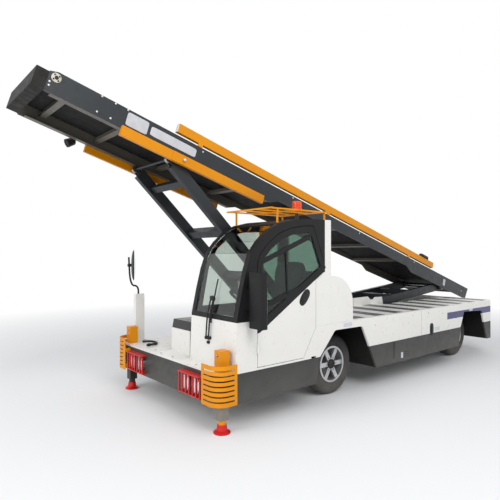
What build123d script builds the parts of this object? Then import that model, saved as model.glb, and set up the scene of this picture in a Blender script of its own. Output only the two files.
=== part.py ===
from build123d import *
from math import cos, radians, sin
import os

os.makedirs("parts", exist_ok=True)

# Whole vehicle: X forward, Y to the left, Z up, the ground at Z = 0
FRONT_AXLE_X = 785
WHEELBASE = 3150
REAR_AXLE_X = FRONT_AXLE_X - WHEELBASE
HALF_WIDTH = 1030
BODY_FRONT_X = FRONT_AXLE_X + 1780
BODY_REAR_X = FRONT_AXLE_X - 3815
SKIRT_BOTTOM_Z = 260
BAND_TOP_Z = 540
PLATFORM_TOP_Z = 560
DECK_TOP_Z = 883
DECK_THICKNESS = 30
SKIN = 25
BODY_CORNER_R = 60
SEAM = 1

# Frame rails and cross members
RAIL_INNER_Y = 270
RAIL_OUTER_Y = 350
RAIL_BOTTOM_Z = 430
RAIL_TOP_Z = BAND_TOP_Z
RAIL_WALL = 8
CROSS_MEMBER_LENGTH = 80

# Wheels, seen along the axle
TYRE_RADIUS = 352
TYRE_WIDTH = 215
RIM_SEAT_R = 198
RIM_WALL = 10
RIM_LIP_R = 212
HUB_R = 62
SPINDLE_R = 25
SPOKES = 6
FRONT_WHEEL_FACE_Y = 820
REAR_WHEEL_FACE_Y = 740
FIT = 0.05
SEAT_GAP = 0.3

# Cab: the left half of the front, hollow
CAB_INNER_Y = 260
CAB_REAR_X = FRONT_AXLE_X + 280
CAB_FRONT_X = FRONT_AXLE_X + 1620
CAB_WALL = 30
CAB_FLOOR_Z = PLATFORM_TOP_Z + CAB_WALL
WAIST_Z = 1040
ROOF_Z = 2022
DOOR_FRONT_X = FRONT_AXLE_X + 1350
DOOR_REAR_X = FRONT_AXLE_X + 530
DOOR_THICKNESS = 40
DOOR_GAP = 6
HINGE_Y = HALF_WIDTH + 12

# Conveyor boom, in its own frame: u along it from the rear pivot, w square to it
BOOM_ANGLE = 16.45
BOOM_PIVOT_X = FRONT_AXLE_X - 3800
BOOM_PIVOT_Z = 1060
BOOM_Y = -260
BOOM_HALF_WIDTH = 450
BOOM_PLATE = 12
BOOM_TOP_W = 192
BOOM_BOTTOM_W = -23
BOOM_WAIST_W = 42
NOSE_U = 7150
TAIL_U = -950
BELT_THICKNESS = 6
END_ROLLER_R = 35
BELT_TOP_W = 172

# Lift arms
FRONT_ARM_PIVOT_X = FRONT_AXLE_X + 75
FRONT_ARM_PIVOT_Z = 970
FRONT_ARM_TIP_X = FRONT_AXLE_X + 1800
ARM_TUBE_DEPTH = 130
ARM_TUBE_WIDTH = 70
FRONT_ARM_HALF_GAUGE = 385
REAR_ARM_PIVOT_X = FRONT_AXLE_X - 1950
REAR_ARM_PIVOT_Z = 897
REAR_ARM_HALF_GAUGE = 350
TRACK_ROLLER_R = 42
TRACK_GAP = 3
TRUNNION_R = 30
ARM_PIN_R = 25


def side(y, x=0, z=0, tilt=0):
    """A plane seen from the left: its x runs forward, turned up by tilt degrees, and it extrudes to the right."""
    return Plane(origin=(x, y, z), x_dir=(cos(radians(tilt)), 0, sin(radians(tilt))), z_dir=(0, -1, 0))


def block(x, y, z, mode=Mode.ADD):
    """A box from its limits along each axis."""
    with Locations(((x[0] + x[1]) / 2, (y[0] + y[1]) / 2, (z[0] + z[1]) / 2)):
        Box(abs(x[1] - x[0]), abs(y[1] - y[0]), abs(z[1] - z[0]), mode=mode)


def panel(points, y, mode=Mode.ADD, at=(0, 0), tilt=0, radius=0):
    """A closed outline in the side view, extruded between two places across the vehicle."""
    with BuildSketch(side(max(y), at[0], at[1], tilt)) as outline:
        Polygon(*points, align=None)
        if radius:
            fillet(outline.vertices(), radius)
    extrude(outline.sketch, amount=abs(y[1] - y[0]), mode=mode)


def disc(x, z, radius, y, mode=Mode.ADD):
    """A round bar across the vehicle, by its centre in the side view."""
    with BuildSketch(side(max(y), x, z)) as circle:
        Circle(radius)
    extrude(circle.sketch, amount=abs(y[1] - y[0]), mode=mode)


def mirrored(y, hand):
    """The limits y on the left side, or the same on the right side where hand is -1."""
    return (y[0], y[1]) if hand > 0 else (-y[1], -y[0])


def boom_point(u, w):
    """The place in the side view of a point of the boom."""
    c = cos(radians(BOOM_ANGLE))
    s = sin(radians(BOOM_ANGLE))
    return BOOM_PIVOT_X + u * c - w * s, BOOM_PIVOT_Z + u * s + w * c


def boom_panel(points, y, mode=Mode.ADD):
    """An outline in the boom's own frame, extruded across it between two offsets from its middle."""
    panel(points, (BOOM_Y + y[0], BOOM_Y + y[1]), mode, (BOOM_PIVOT_X, BOOM_PIVOT_Z), BOOM_ANGLE)


def boom_block(u, w, y, mode=Mode.ADD):
    """A box in the boom's own frame."""
    boom_panel([(u[0], w[0]), (u[1], w[0]), (u[1], w[1]), (u[0], w[1])], y, mode)


def boom_disc(u, w, radius, y, mode=Mode.ADD):
    """A round bar across the boom."""
    x, z = boom_point(u, w)
    disc(x, z, radius, (BOOM_Y + y[0], BOOM_Y + y[1]), mode)


# Wheel arches: offsets from the axle and heights, front edge first
FRONT_ARCH = [(520, SKIRT_BOTTOM_Z), (463, 536), (209, 800), (-286, 797), (-539, 319), (-570, SKIRT_BOTTOM_Z)]
REAR_ARCH = [(490, SKIRT_BOTTOM_Z), (432, 535), (311, 765), (-291, 735), (-459, 308), (-478, SKIRT_BOTTOM_Z)]
ARCH_CORNER_R = 45
ARCH_DROP = 40
LINER = 10
LINER_INNER_Y = 380
AXLE_SLOT = 80
AXLE_SLOT_TOP_Z = 450


def arch_outline(axle_x, arch, grow=0):
    """The arch in the side view, open downwards, grown all round by grow."""
    with BuildSketch(side(0)) as outline:
        Polygon(*[(axle_x + dx, z) for dx, z in arch], align=None)
        fillet(outline.vertices().sort_by(Axis.Y)[-2:], ARCH_CORNER_R)
        if grow:
            offset(amount=grow, kind=Kind.INTERSECTION)
    return outline.sketch


def arch_solid(axle_x, arch, y, grow=0, drop=0, mode=Mode.ADD):
    """The space of an arch between two places across the vehicle."""
    shape = arch_outline(axle_x, arch, grow).moved(Location((0, max(y), 0)))
    extrude(shape, amount=abs(y[1] - y[0]), mode=mode)
    if drop:
        ends = (axle_x + arch[-1][0] - grow, axle_x + arch[0][0] + grow)
        block(ends, y, (SKIRT_BOTTOM_Z - drop, SKIRT_BOTTOM_Z + 1), mode)


ARCHES = [(FRONT_AXLE_X, FRONT_ARCH), (REAR_AXLE_X, REAR_ARCH)]

# Chassis frame: two channels and the cross members, with the lugs for the lift cylinders
FRONT_CYLINDER_BASE = (FRONT_AXLE_X + 600, 380)
REAR_CYLINDER_BASE = (FRONT_AXLE_X - 2300, 590)
CYLINDER_PIN_R = 20
CYLINDER_BARREL_R = 36
CYLINDER_ROD_R = 20
CYLINDER_EYE_R = 34
CYLINDER_EYE_WIDTH = 72
LUG = 12
LUG_GAP = 4
FRONT_CYLINDER_OFFSETS = (-160, 160)
REAR_CYLINDER_OFFSETS = (-120, 120)
CROSS_MEMBERS_X = [FRONT_AXLE_X + dx for dx in (1500, 680, -680, -1300, -2300, -2560, -3740)]

with BuildPart() as chassis_frame:
    for hand in (1, -1):
        rail = mirrored((RAIL_INNER_Y, RAIL_OUTER_Y), hand)
        block((BODY_REAR_X + SKIN, BODY_FRONT_X - SKIN), rail, (RAIL_BOTTOM_Z, RAIL_TOP_Z))
        hollow = mirrored((RAIL_INNER_Y, RAIL_OUTER_Y - RAIL_WALL), hand)
        block((BODY_REAR_X + SKIN, BODY_FRONT_X - SKIN), hollow,
              (RAIL_BOTTOM_Z + RAIL_WALL, RAIL_TOP_Z - RAIL_WALL), Mode.SUBTRACT)
    for x in CROSS_MEMBERS_X:
        block((x, x + CROSS_MEMBER_LENGTH), (-RAIL_OUTER_Y + RAIL_WALL, RAIL_OUTER_Y - RAIL_WALL),
              (RAIL_BOTTOM_Z + RAIL_WALL, RAIL_TOP_Z - RAIL_WALL))
        for hand in (1, -1):
            block((x, x + CROSS_MEMBER_LENGTH), mirrored((RAIL_OUTER_Y, HALF_WIDTH - SKIN), hand),
                  (RAIL_TOP_Z - 60, RAIL_TOP_Z))
    for middle in FRONT_CYLINDER_OFFSETS:
        for shift in (-1, 1):
            y = BOOM_Y + middle + shift * (CYLINDER_EYE_WIDTH / 2 + LUG_GAP + LUG / 2)
            x, z = FRONT_CYLINDER_BASE
            block((x - CYLINDER_EYE_R, FRONT_AXLE_X + 690), (y - LUG / 2, y + LUG / 2), (z - 40, RAIL_BOTTOM_Z + 60))
        reach = CYLINDER_EYE_WIDTH / 2 + LUG_GAP + LUG
        block((FRONT_AXLE_X + 690, FRONT_AXLE_X + 690 + LUG),
              (BOOM_Y + middle - reach, BOOM_Y + middle + reach), (FRONT_CYLINDER_BASE[1] - 40, RAIL_BOTTOM_Z + 60))
        disc(*FRONT_CYLINDER_BASE, CYLINDER_PIN_R, (BOOM_Y + middle - reach, BOOM_Y + middle + reach))
    for middle in REAR_CYLINDER_OFFSETS:
        for shift in (-1, 1):
            y = BOOM_Y + middle + shift * (CYLINDER_EYE_WIDTH / 2 + LUG_GAP + LUG / 2)
            x, z = REAR_CYLINDER_BASE
            block((x, x + 60), (y - LUG / 2, y + LUG / 2), (RAIL_TOP_Z - 40, z + CYLINDER_EYE_R))
            disc(x, z, CYLINDER_EYE_R, (y - LUG / 2, y + LUG / 2))
        reach = CYLINDER_EYE_WIDTH / 2 + LUG_GAP + LUG
        disc(*REAR_CYLINDER_BASE, CYLINDER_PIN_R, (BOOM_Y + middle - reach, BOOM_Y + middle + reach))

# Dark grey lower band, right round the vehicle
with BuildPart() as skirt_band:
    with BuildSketch(Plane.XY.offset(SKIRT_BOTTOM_Z)):
        with Locations(((BODY_FRONT_X + BODY_REAR_X) / 2, 0)):
            RectangleRounded(BODY_FRONT_X - BODY_REAR_X, 2 * HALF_WIDTH, BODY_CORNER_R)
            RectangleRounded(BODY_FRONT_X - BODY_REAR_X - 2 * SKIN, 2 * (HALF_WIDTH - SKIN),
                             BODY_CORNER_R - SKIN, mode=Mode.SUBTRACT)
    extrude(amount=BAND_TOP_Z - SKIRT_BOTTOM_Z)
    for axle_x, arch in ARCHES:
        arch_solid(axle_x, arch, (-HALF_WIDTH - SKIN, HALF_WIDTH + SKIN), mode=Mode.SUBTRACT)

# White side panels above the band
SEAM_Z = 875
DECK_MARGIN = 55
DECK_FLANGE = 8
STEP_X = FRONT_AXLE_X + 600
with BuildPart() as side_panels:
    with BuildSketch(Plane.XY.offset(BAND_TOP_Z)):
        with Locations(((BODY_FRONT_X + BODY_REAR_X) / 2, 0)):
            RectangleRounded(BODY_FRONT_X - BODY_REAR_X, 2 * HALF_WIDTH, BODY_CORNER_R)
            RectangleRounded(BODY_FRONT_X - BODY_REAR_X - 2 * SKIN, 2 * (HALF_WIDTH - SKIN),
                             BODY_CORNER_R - SKIN, mode=Mode.SUBTRACT)
    extrude(amount=DECK_TOP_Z - BAND_TOP_Z)
    block((STEP_X, BODY_FRONT_X + SKIN), (-HALF_WIDTH - 1, 0), (BAND_TOP_Z - 1, DECK_TOP_Z + 1), Mode.SUBTRACT)
    block((DOOR_REAR_X - DOOR_GAP, BODY_FRONT_X + SKIN), (0, HALF_WIDTH + 1),
          (BAND_TOP_Z - 1, DECK_TOP_Z + 1), Mode.SUBTRACT)
    for hand in (1, -1):
        block((BODY_REAR_X + BODY_CORNER_R, STEP_X), mirrored((HALF_WIDTH - DECK_MARGIN, HALF_WIDTH - SKIN), hand),
              (DECK_TOP_Z - DECK_FLANGE, DECK_TOP_Z))
    block((FRONT_AXLE_X - 107, BODY_FRONT_X + SKIN), (0, HALF_WIDTH + 1), (SEAM_Z, DECK_TOP_Z + 1), Mode.SUBTRACT)
    for axle_x, arch in ARCHES:
        arch_solid(axle_x, arch, (-HALF_WIDTH - SKIN, HALF_WIDTH + SKIN), mode=Mode.SUBTRACT)

# Flat white platform over the front, pierced by the two jack tubes
JACK_X = FRONT_AXLE_X + 1700
JACK_Y = 930
JACK_TUBE = 100
JACK_TUBE_WALL = 4
JACK_TUBE_TOP_Z = 760
TREAD_PLATE_X = (FRONT_AXLE_X + 1180, FRONT_AXLE_X + 1740)
TREAD_PLATE_Y = (-850, -290)
TREAD_PLATE = 3
with BuildPart() as front_platform:
    with BuildSketch(Plane.XY.offset(BAND_TOP_Z)):
        with Locations(((BODY_FRONT_X + BODY_REAR_X) / 2, 0)):
            RectangleRounded(BODY_FRONT_X - BODY_REAR_X, 2 * HALF_WIDTH, BODY_CORNER_R)
    extrude(amount=PLATFORM_TOP_Z - BAND_TOP_Z)
    block((BODY_REAR_X - 1, STEP_X), (-HALF_WIDTH - 1, HALF_WIDTH + 1),
          (BAND_TOP_Z - 1, PLATFORM_TOP_Z + 1), Mode.SUBTRACT)
    for hand in (1, -1):
        block((JACK_X - JACK_TUBE / 2, JACK_X + JACK_TUBE / 2),
              mirrored((JACK_Y - JACK_TUBE / 2, JACK_Y + JACK_TUBE / 2), hand),
              (BAND_TOP_Z - 1, PLATFORM_TOP_Z + 1), Mode.SUBTRACT)
    block((STEP_X - 1, FRONT_AXLE_X + 900), (BOOM_Y - 220, BOOM_Y + 220),
          (BAND_TOP_Z - 1, PLATFORM_TOP_Z + 1), Mode.SUBTRACT)
    block(TREAD_PLATE_X, TREAD_PLATE_Y, (PLATFORM_TOP_Z, PLATFORM_TOP_Z + TREAD_PLATE))

# White loading deck with its cross grooves, and the openings that the lift arms lie in
REAR_WELL = (BODY_REAR_X - 1, FRONT_AXLE_X - 1850)
FRONT_WELL = (FRONT_AXLE_X - 150, STEP_X + 1)
WELL_Y = (BOOM_Y - 500, BOOM_Y + 500)
GROOVE_FIRST_X = FRONT_AXLE_X - 320
GROOVE_PITCH = 419
GROOVE_WIDTH = 225
GROOVE_DEPTH = 4
GROOVES = int((GROOVE_FIRST_X - BODY_REAR_X) / GROOVE_PITCH) + 1
with BuildPart() as rear_deck:
    block((BODY_REAR_X + SKIN, STEP_X), (-HALF_WIDTH + SKIN, HALF_WIDTH - SKIN),
          (DECK_TOP_Z - DECK_THICKNESS, DECK_TOP_Z))
    fillet(rear_deck.edges().filter_by(Axis.Z).group_by(Axis.X)[0], BODY_CORNER_R - SKIN)
    block((STEP_X - SKIN, STEP_X), (-HALF_WIDTH + SKIN, CAB_INNER_Y - SEAM), (PLATFORM_TOP_Z, DECK_TOP_Z))
    block((FRONT_AXLE_X - 107, STEP_X + 1), (CAB_INNER_Y - SEAM, HALF_WIDTH),
          (PLATFORM_TOP_Z - 1, DECK_TOP_Z + 1), Mode.SUBTRACT)
    for index in range(GROOVES):
        x = GROOVE_FIRST_X - index * GROOVE_PITCH
        block((x - GROOVE_WIDTH / 2, x + GROOVE_WIDTH / 2), (-HALF_WIDTH, HALF_WIDTH),
              (DECK_TOP_Z - GROOVE_DEPTH, DECK_TOP_Z + 1), Mode.SUBTRACT)
    for hand in (1, -1):
        block((BODY_REAR_X + BODY_CORNER_R, STEP_X), mirrored((HALF_WIDTH - DECK_MARGIN, HALF_WIDTH), hand),
              (DECK_TOP_Z - DECK_FLANGE, DECK_TOP_Z + 1), Mode.SUBTRACT)
    block(REAR_WELL, WELL_Y, (PLATFORM_TOP_Z, DECK_TOP_Z + 1), Mode.SUBTRACT)
    block(FRONT_WELL, WELL_Y, (PLATFORM_TOP_Z - 1, DECK_TOP_Z + 1), Mode.SUBTRACT)

# Black wheel houses behind the four arches
with BuildPart() as arch_liners:
    for axle_x, arch in ARCHES:
        for hand in (1, -1):
            arch_solid(axle_x, arch, mirrored((LINER_INNER_Y, HALF_WIDTH - SKIN), hand), grow=LINER)
            arch_solid(axle_x, arch, mirrored((LINER_INNER_Y + LINER, HALF_WIDTH), hand), mode=Mode.SUBTRACT)
        block((axle_x - AXLE_SLOT, axle_x + AXLE_SLOT), (-HALF_WIDTH, HALF_WIDTH), (0, AXLE_SLOT_TOP_Z), Mode.SUBTRACT)
    block((BODY_REAR_X, BODY_FRONT_X), (-HALF_WIDTH, HALF_WIDTH), (0, SKIRT_BOTTOM_Z), Mode.SUBTRACT)

# Axles: the beam with its kingpins in front, the driven axle behind
KINGPIN_Y = 600
KINGPIN_R = 15
BEAM_END_R = 35
BEAM_HALF_HEIGHT = 50
KNUCKLE_ARM = 20
KNUCKLE_GAP = 5
KNUCKLE_PLATE_Y = KINGPIN_Y + BEAM_END_R + 10
SPRING_WIDTH = 60
with BuildPart() as front_axle:
    block((FRONT_AXLE_X - 40, FRONT_AXLE_X + 40), (-KINGPIN_Y, KINGPIN_Y), (TYRE_RADIUS - 50, TYRE_RADIUS + 50))
    for hand in (1, -1):
        with BuildSketch(Plane.XY.offset(TYRE_RADIUS - BEAM_HALF_HEIGHT)) as clear:
            with Locations((FRONT_AXLE_X, hand * KINGPIN_Y)):
                Rectangle(4 * BEAM_END_R, 4 * BEAM_END_R)
                Circle(BEAM_END_R, mode=Mode.SUBTRACT)
            with Locations((FRONT_AXLE_X, hand * (KINGPIN_Y - 2 * BEAM_END_R))):
                Rectangle(2 * BEAM_END_R, 4 * BEAM_END_R, mode=Mode.SUBTRACT)
        extrude(clear.sketch, amount=2 * BEAM_HALF_HEIGHT, mode=Mode.SUBTRACT)
        with BuildSketch(Plane.XY.offset(TYRE_RADIUS - BEAM_HALF_HEIGHT)) as end:
            with Locations((FRONT_AXLE_X, hand * KINGPIN_Y)):
                Circle(BEAM_END_R)
        extrude(end.sketch, amount=2 * BEAM_HALF_HEIGHT)
        pin_length = 2 * (BEAM_HALF_HEIGHT + KNUCKLE_GAP + KNUCKLE_ARM)
        with BuildSketch(Plane.XY.offset(TYRE_RADIUS - pin_length / 2)) as pin:
            with Locations((FRONT_AXLE_X, hand * KINGPIN_Y)):
                Circle(KINGPIN_R)
        extrude(pin.sketch, amount=pin_length)
        spring = mirrored((RAIL_OUTER_Y - SPRING_WIDTH, RAIL_OUTER_Y), hand)
        block((FRONT_AXLE_X - 60, FRONT_AXLE_X + 60), spring, (TYRE_RADIUS + BEAM_HALF_HEIGHT, RAIL_BOTTOM_Z))

REAR_TUBE_R = 60
with BuildPart() as rear_axle:
    disc(REAR_AXLE_X, TYRE_RADIUS, REAR_TUBE_R, (-(REAR_WHEEL_FACE_Y - TYRE_WIDTH - 5), REAR_WHEEL_FACE_Y - TYRE_WIDTH - 5))
    disc(REAR_AXLE_X, TYRE_RADIUS, 150, (-90, 90))
    disc(REAR_AXLE_X, TYRE_RADIUS, SPINDLE_R, (-(REAR_WHEEL_FACE_Y - 30), REAR_WHEEL_FACE_Y - 30))
    for hand in (1, -1):
        spring = mirrored((RAIL_OUTER_Y - SPRING_WIDTH, RAIL_OUTER_Y), hand)
        block((REAR_AXLE_X - 60, REAR_AXLE_X + 60), spring, (TYRE_RADIUS, RAIL_BOTTOM_Z))


def knuckle(hand):
    """A steering knuckle: two arms on the kingpin, a plate and the wheel's spindle."""
    with BuildPart() as piece:
        top = TYRE_RADIUS + BEAM_HALF_HEIGHT + KNUCKLE_GAP
        bottom = TYRE_RADIUS - BEAM_HALF_HEIGHT - KNUCKLE_GAP
        for low in (top, bottom - KNUCKLE_ARM):
            with BuildSketch(Plane.XY.offset(low)) as arm:
                with Locations((FRONT_AXLE_X, hand * KINGPIN_Y)):
                    Circle(BEAM_END_R)
                with Locations((FRONT_AXLE_X, hand * (KINGPIN_Y + KNUCKLE_PLATE_Y) / 2)):
                    Rectangle(2 * BEAM_END_R, KNUCKLE_PLATE_Y - KINGPIN_Y)
                with Locations((FRONT_AXLE_X, hand * KINGPIN_Y)):
                    Circle(KINGPIN_R + FIT, mode=Mode.SUBTRACT)
            extrude(arm.sketch, amount=KNUCKLE_ARM)
        block((FRONT_AXLE_X - BEAM_END_R, FRONT_AXLE_X + BEAM_END_R),
              mirrored((KNUCKLE_PLATE_Y, KNUCKLE_PLATE_Y + 20), hand), (bottom - KNUCKLE_ARM, top + KNUCKLE_ARM))
        disc(FRONT_AXLE_X, TYRE_RADIUS, SPINDLE_R, mirrored((KNUCKLE_PLATE_Y, FRONT_WHEEL_FACE_Y - 30), hand))
    return piece


# Tyre section: distance in from the outer face, radius
TYRE_SECTION = [(26, RIM_SEAT_R + SEAT_GAP), (22, RIM_LIP_R + 2), (6, 232), (0, 270), (8, 320), (35, 346), (60, TYRE_RADIUS),
                (TYRE_WIDTH - 60, TYRE_RADIUS), (TYRE_WIDTH - 35, 346), (TYRE_WIDTH - 8, 320),
                (TYRE_WIDTH, 270), (TYRE_WIDTH - 6, 232), (TYRE_WIDTH - 22, RIM_LIP_R + 2),
                (TYRE_WIDTH - 26, RIM_SEAT_R + SEAT_GAP)]
# Rim barrel section: distance in from the tyre's outer face, radius
RIM_SECTION = [(14, RIM_LIP_R), (20, RIM_LIP_R), (24, RIM_SEAT_R), (TYRE_WIDTH - 24, RIM_SEAT_R),
               (TYRE_WIDTH - 20, RIM_LIP_R), (TYRE_WIDTH - 14, RIM_LIP_R), (TYRE_WIDTH - 14, RIM_SEAT_R - RIM_WALL),
               (14, RIM_SEAT_R - RIM_WALL)]
SPOKE_WIDTH = 52
SPOKE_FACE = 30
SPOKE_THICKNESS = 26
HUB_LENGTH = 90


def wheel_plane(axle_x, face_y, hand):
    """The section plane of a wheel: x runs inwards from the outer face, y outwards from the axle."""
    return Plane(origin=(axle_x, hand * face_y, TYRE_RADIUS), x_dir=(0, -hand, 0), z_dir=(-hand, 0, 0))


def wheel_turn(axle_x):
    """The wheel's axis."""
    return Axis((axle_x, 0, TYRE_RADIUS), (0, 1, 0))


def tyre(axle_x, face_y, hand):
    """A tyre, turned from its section."""
    with BuildPart() as piece:
        with BuildSketch(wheel_plane(axle_x, face_y, hand)):
            Polygon(*TYRE_SECTION, align=None)
        revolve(axis=wheel_turn(axle_x))
    return piece


def rim(axle_x, face_y, hand):
    """A six-spoke alloy rim with its hub, bored for the spindle."""
    with BuildPart() as piece:
        with BuildSketch(wheel_plane(axle_x, face_y, hand)):
            Polygon(*RIM_SECTION, align=None)
        revolve(axis=wheel_turn(axle_x))
        outer = hand * (face_y - SPOKE_FACE)
        inner = hand * (face_y - SPOKE_FACE - SPOKE_THICKNESS)
        disc(axle_x, TYRE_RADIUS, HUB_R, sorted((outer, hand * (face_y - SPOKE_FACE - HUB_LENGTH))))
        with BuildSketch(side(max(outer, inner), axle_x, TYRE_RADIUS)) as spokes:
            with PolarLocations(0, SPOKES):
                with Locations(((HUB_R + RIM_SEAT_R - RIM_WALL) / 2, 0)):
                    Rectangle(RIM_SEAT_R - RIM_WALL - HUB_R + 10, SPOKE_WIDTH)
        extrude(spokes.sketch, amount=SPOKE_THICKNESS)
        disc(axle_x, TYRE_RADIUS, SPINDLE_R + FIT,
             sorted((hand * (face_y - SPOKE_FACE - HUB_LENGTH - 1), hand * (face_y - SPOKE_FACE + 1))), Mode.SUBTRACT)
    return piece


# Corner guards and jack tubes: slotted yellow plates wrapped round the front corners
GUARD_FRONT_X = FRONT_AXLE_X + 1850
GUARD_SIDE_Y = 1060
GUARD_INNER_Y = 810
GUARD_REAR_X = FRONT_AXLE_X + 1620
GUARD_CORNER_R = 130
GUARD_PLATE = 8
GUARD_BOTTOM_Z = 270
GUARD_TOP_Z = 640
GUARD_SLOTS = 7
GUARD_SLOT_HEIGHT = 14
GUARD_BORDER = 32


def guard_band(hand, inset):
    """The plan of a guard plate, stopped short by inset at both ends."""
    with BuildSketch(Plane.XY) as plan:
        for step, mode in ((0, Mode.ADD), (GUARD_PLATE, Mode.SUBTRACT)):
            front = GUARD_FRONT_X - step
            out = GUARD_SIDE_Y - step
            with BuildSketch(mode=Mode.PRIVATE) as corner:
                Polygon((GUARD_REAR_X - 200, hand * (GUARD_INNER_Y - 200)), (front, hand * (GUARD_INNER_Y - 200)),
                        (front, hand * out), (GUARD_REAR_X - 200, hand * out), align=None)
                fillet(corner.vertices().group_by(Axis.X)[-1].sort_by(Axis.Y)[-1 if hand > 0 else 0],
                       GUARD_CORNER_R - step)
            add(corner.sketch, mode=mode)
        with Locations(((GUARD_REAR_X + inset + GUARD_FRONT_X) / 2, hand * (GUARD_INNER_Y + inset + GUARD_SIDE_Y) / 2)):
            Rectangle(GUARD_FRONT_X - GUARD_REAR_X - inset, GUARD_SIDE_Y - GUARD_INNER_Y - inset, mode=Mode.INTERSECT)
    return plan.sketch


with BuildPart() as corner_guards:
    for hand in (1, -1):
        extrude(guard_band(hand, 0).moved(Location((0, 0, GUARD_BOTTOM_Z))), amount=GUARD_TOP_Z - GUARD_BOTTOM_Z)
        pitch = (GUARD_TOP_Z - GUARD_BOTTOM_Z) / (GUARD_SLOTS + 1)
        for index in range(GUARD_SLOTS):
            z = GUARD_BOTTOM_Z + (index + 1) * pitch - GUARD_SLOT_HEIGHT / 2
            extrude(guard_band(hand, GUARD_BORDER).moved(Location((0, 0, z))), amount=GUARD_SLOT_HEIGHT,
                    mode=Mode.SUBTRACT)
        for z in (300, 480):
            block((BODY_FRONT_X, GUARD_FRONT_X - GUARD_PLATE), mirrored((GUARD_INNER_Y, GUARD_INNER_Y + 28), hand),
                  (z, z + 40))
            block((GUARD_REAR_X, GUARD_REAR_X + 28), mirrored((HALF_WIDTH, GUARD_SIDE_Y - GUARD_PLATE), hand),
                  (z, z + 40))

with BuildPart() as jack_tubes:
    for hand in (1, -1):
        half = JACK_TUBE / 2
        block((JACK_X - half, JACK_X + half), mirrored((JACK_Y - half, JACK_Y + half), hand),
              (GUARD_BOTTOM_Z, JACK_TUBE_TOP_Z))
        half = JACK_TUBE / 2 - JACK_TUBE_WALL
        block((JACK_X - half, JACK_X + half), mirrored((JACK_Y - half, JACK_Y + half), hand),
              (GUARD_BOTTOM_Z - 1, JACK_TUBE_TOP_Z - JACK_TUBE_WALL), Mode.SUBTRACT)

JACK_LEG = 90
JACK_LEG_TOP_Z = 600
JACK_FOOT_R = 80
JACK_FOOT_Z = 80
JACK_COLLAR_Z = 120


def jack_leg(hand):
    """A jack's inner leg with its collar and bell foot, standing on the ground."""
    with BuildPart() as piece:
        half = JACK_LEG / 2
        block((JACK_X - half, JACK_X + half), (hand * JACK_Y - half, hand * JACK_Y + half),
              (JACK_COLLAR_Z, JACK_LEG_TOP_Z))
        with BuildSketch(Plane.XZ.offset(-hand * JACK_Y)) as section:
            with BuildLine():
                Polyline((JACK_X, JACK_COLLAR_Z), (JACK_X + 36, JACK_COLLAR_Z), (JACK_X + 36, JACK_FOOT_Z),
                         (JACK_X + 42, JACK_FOOT_Z), (JACK_X + 52, 30), (JACK_X + JACK_FOOT_R, 12),
                         (JACK_X + JACK_FOOT_R, 0), (JACK_X, 0), close=True)
            make_face()
        revolve(section.sketch, axis=Axis((JACK_X, hand * JACK_Y, 0), (0, 0, 1)))
    return piece


# Headlamps in their red cages on the bumper
LAMP_MIDDLE_Y = 580
LAMP_WIDTH = 380
LAMP_BOTTOM_Z = 290
LAMP_TOP_Z = 500
LAMP_DEPTH = 60
LAMP_BARS = 7
BAR_R = 7
HOOD = 10
LAMP_R = 75
with BuildPart() as lamp_guards:
    for hand in (1, -1):
        low = LAMP_MIDDLE_Y - LAMP_WIDTH / 2
        high = LAMP_MIDDLE_Y + LAMP_WIDTH / 2
        block((BODY_FRONT_X, BODY_FRONT_X + LAMP_DEPTH + 15), mirrored((low, high), hand),
              (LAMP_TOP_Z - HOOD, LAMP_TOP_Z))
        block((BODY_FRONT_X, BODY_FRONT_X + LAMP_DEPTH), mirrored((low, high), hand),
              (LAMP_BOTTOM_Z, LAMP_BOTTOM_Z + HOOD))
        for index in range(LAMP_BARS):
            y = low + BAR_R + index * (LAMP_WIDTH - 2 * BAR_R) / (LAMP_BARS - 1)
            block((BODY_FRONT_X + LAMP_DEPTH - 2 * BAR_R, BODY_FRONT_X + LAMP_DEPTH),
                  mirrored((y - BAR_R, y + BAR_R), hand), (LAMP_BOTTOM_Z, LAMP_TOP_Z))

with BuildPart() as headlamps:
    for hand in (1, -1):
        for shift in (-85, 85):
            with BuildSketch(Plane.YZ.offset(BODY_FRONT_X)) as lens:
                with Locations((hand * LAMP_MIDDLE_Y + shift, (LAMP_BOTTOM_Z + LAMP_TOP_Z) / 2)):
                    Circle(LAMP_R)
            extrude(lens.sketch, amount=LAMP_DEPTH - 2 * BAR_R - 10)

# Hinges of the cab door
HINGES_Z = (740, 1200)
HINGE_X = DOOR_FRONT_X + DOOR_GAP / 2
HINGE_BARREL_R = 11
HINGE_PIN_R = 6
HINGE_BARREL = 50
HINGE_EAR = 16
HINGE_LEAF = 4
HINGE_LEAF_REACH = 45


def hinge_barrel(z):
    """The door's half of a hinge: a bored barrel and the leaf that joins it to the door."""
    with BuildSketch(Plane.XY.offset(z - HINGE_BARREL / 2)) as section:
        with Locations((HINGE_X, HINGE_Y)):
            Circle(HINGE_BARREL_R)
        with Locations((HINGE_X - HINGE_LEAF_REACH / 2, HALF_WIDTH + HINGE_LEAF / 2)):
            Rectangle(HINGE_LEAF_REACH, HINGE_LEAF)
        with Locations((HINGE_X, HINGE_Y)):
            Circle(HINGE_PIN_R + FIT, mode=Mode.SUBTRACT)
    extrude(section.sketch, amount=HINGE_BARREL)


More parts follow.
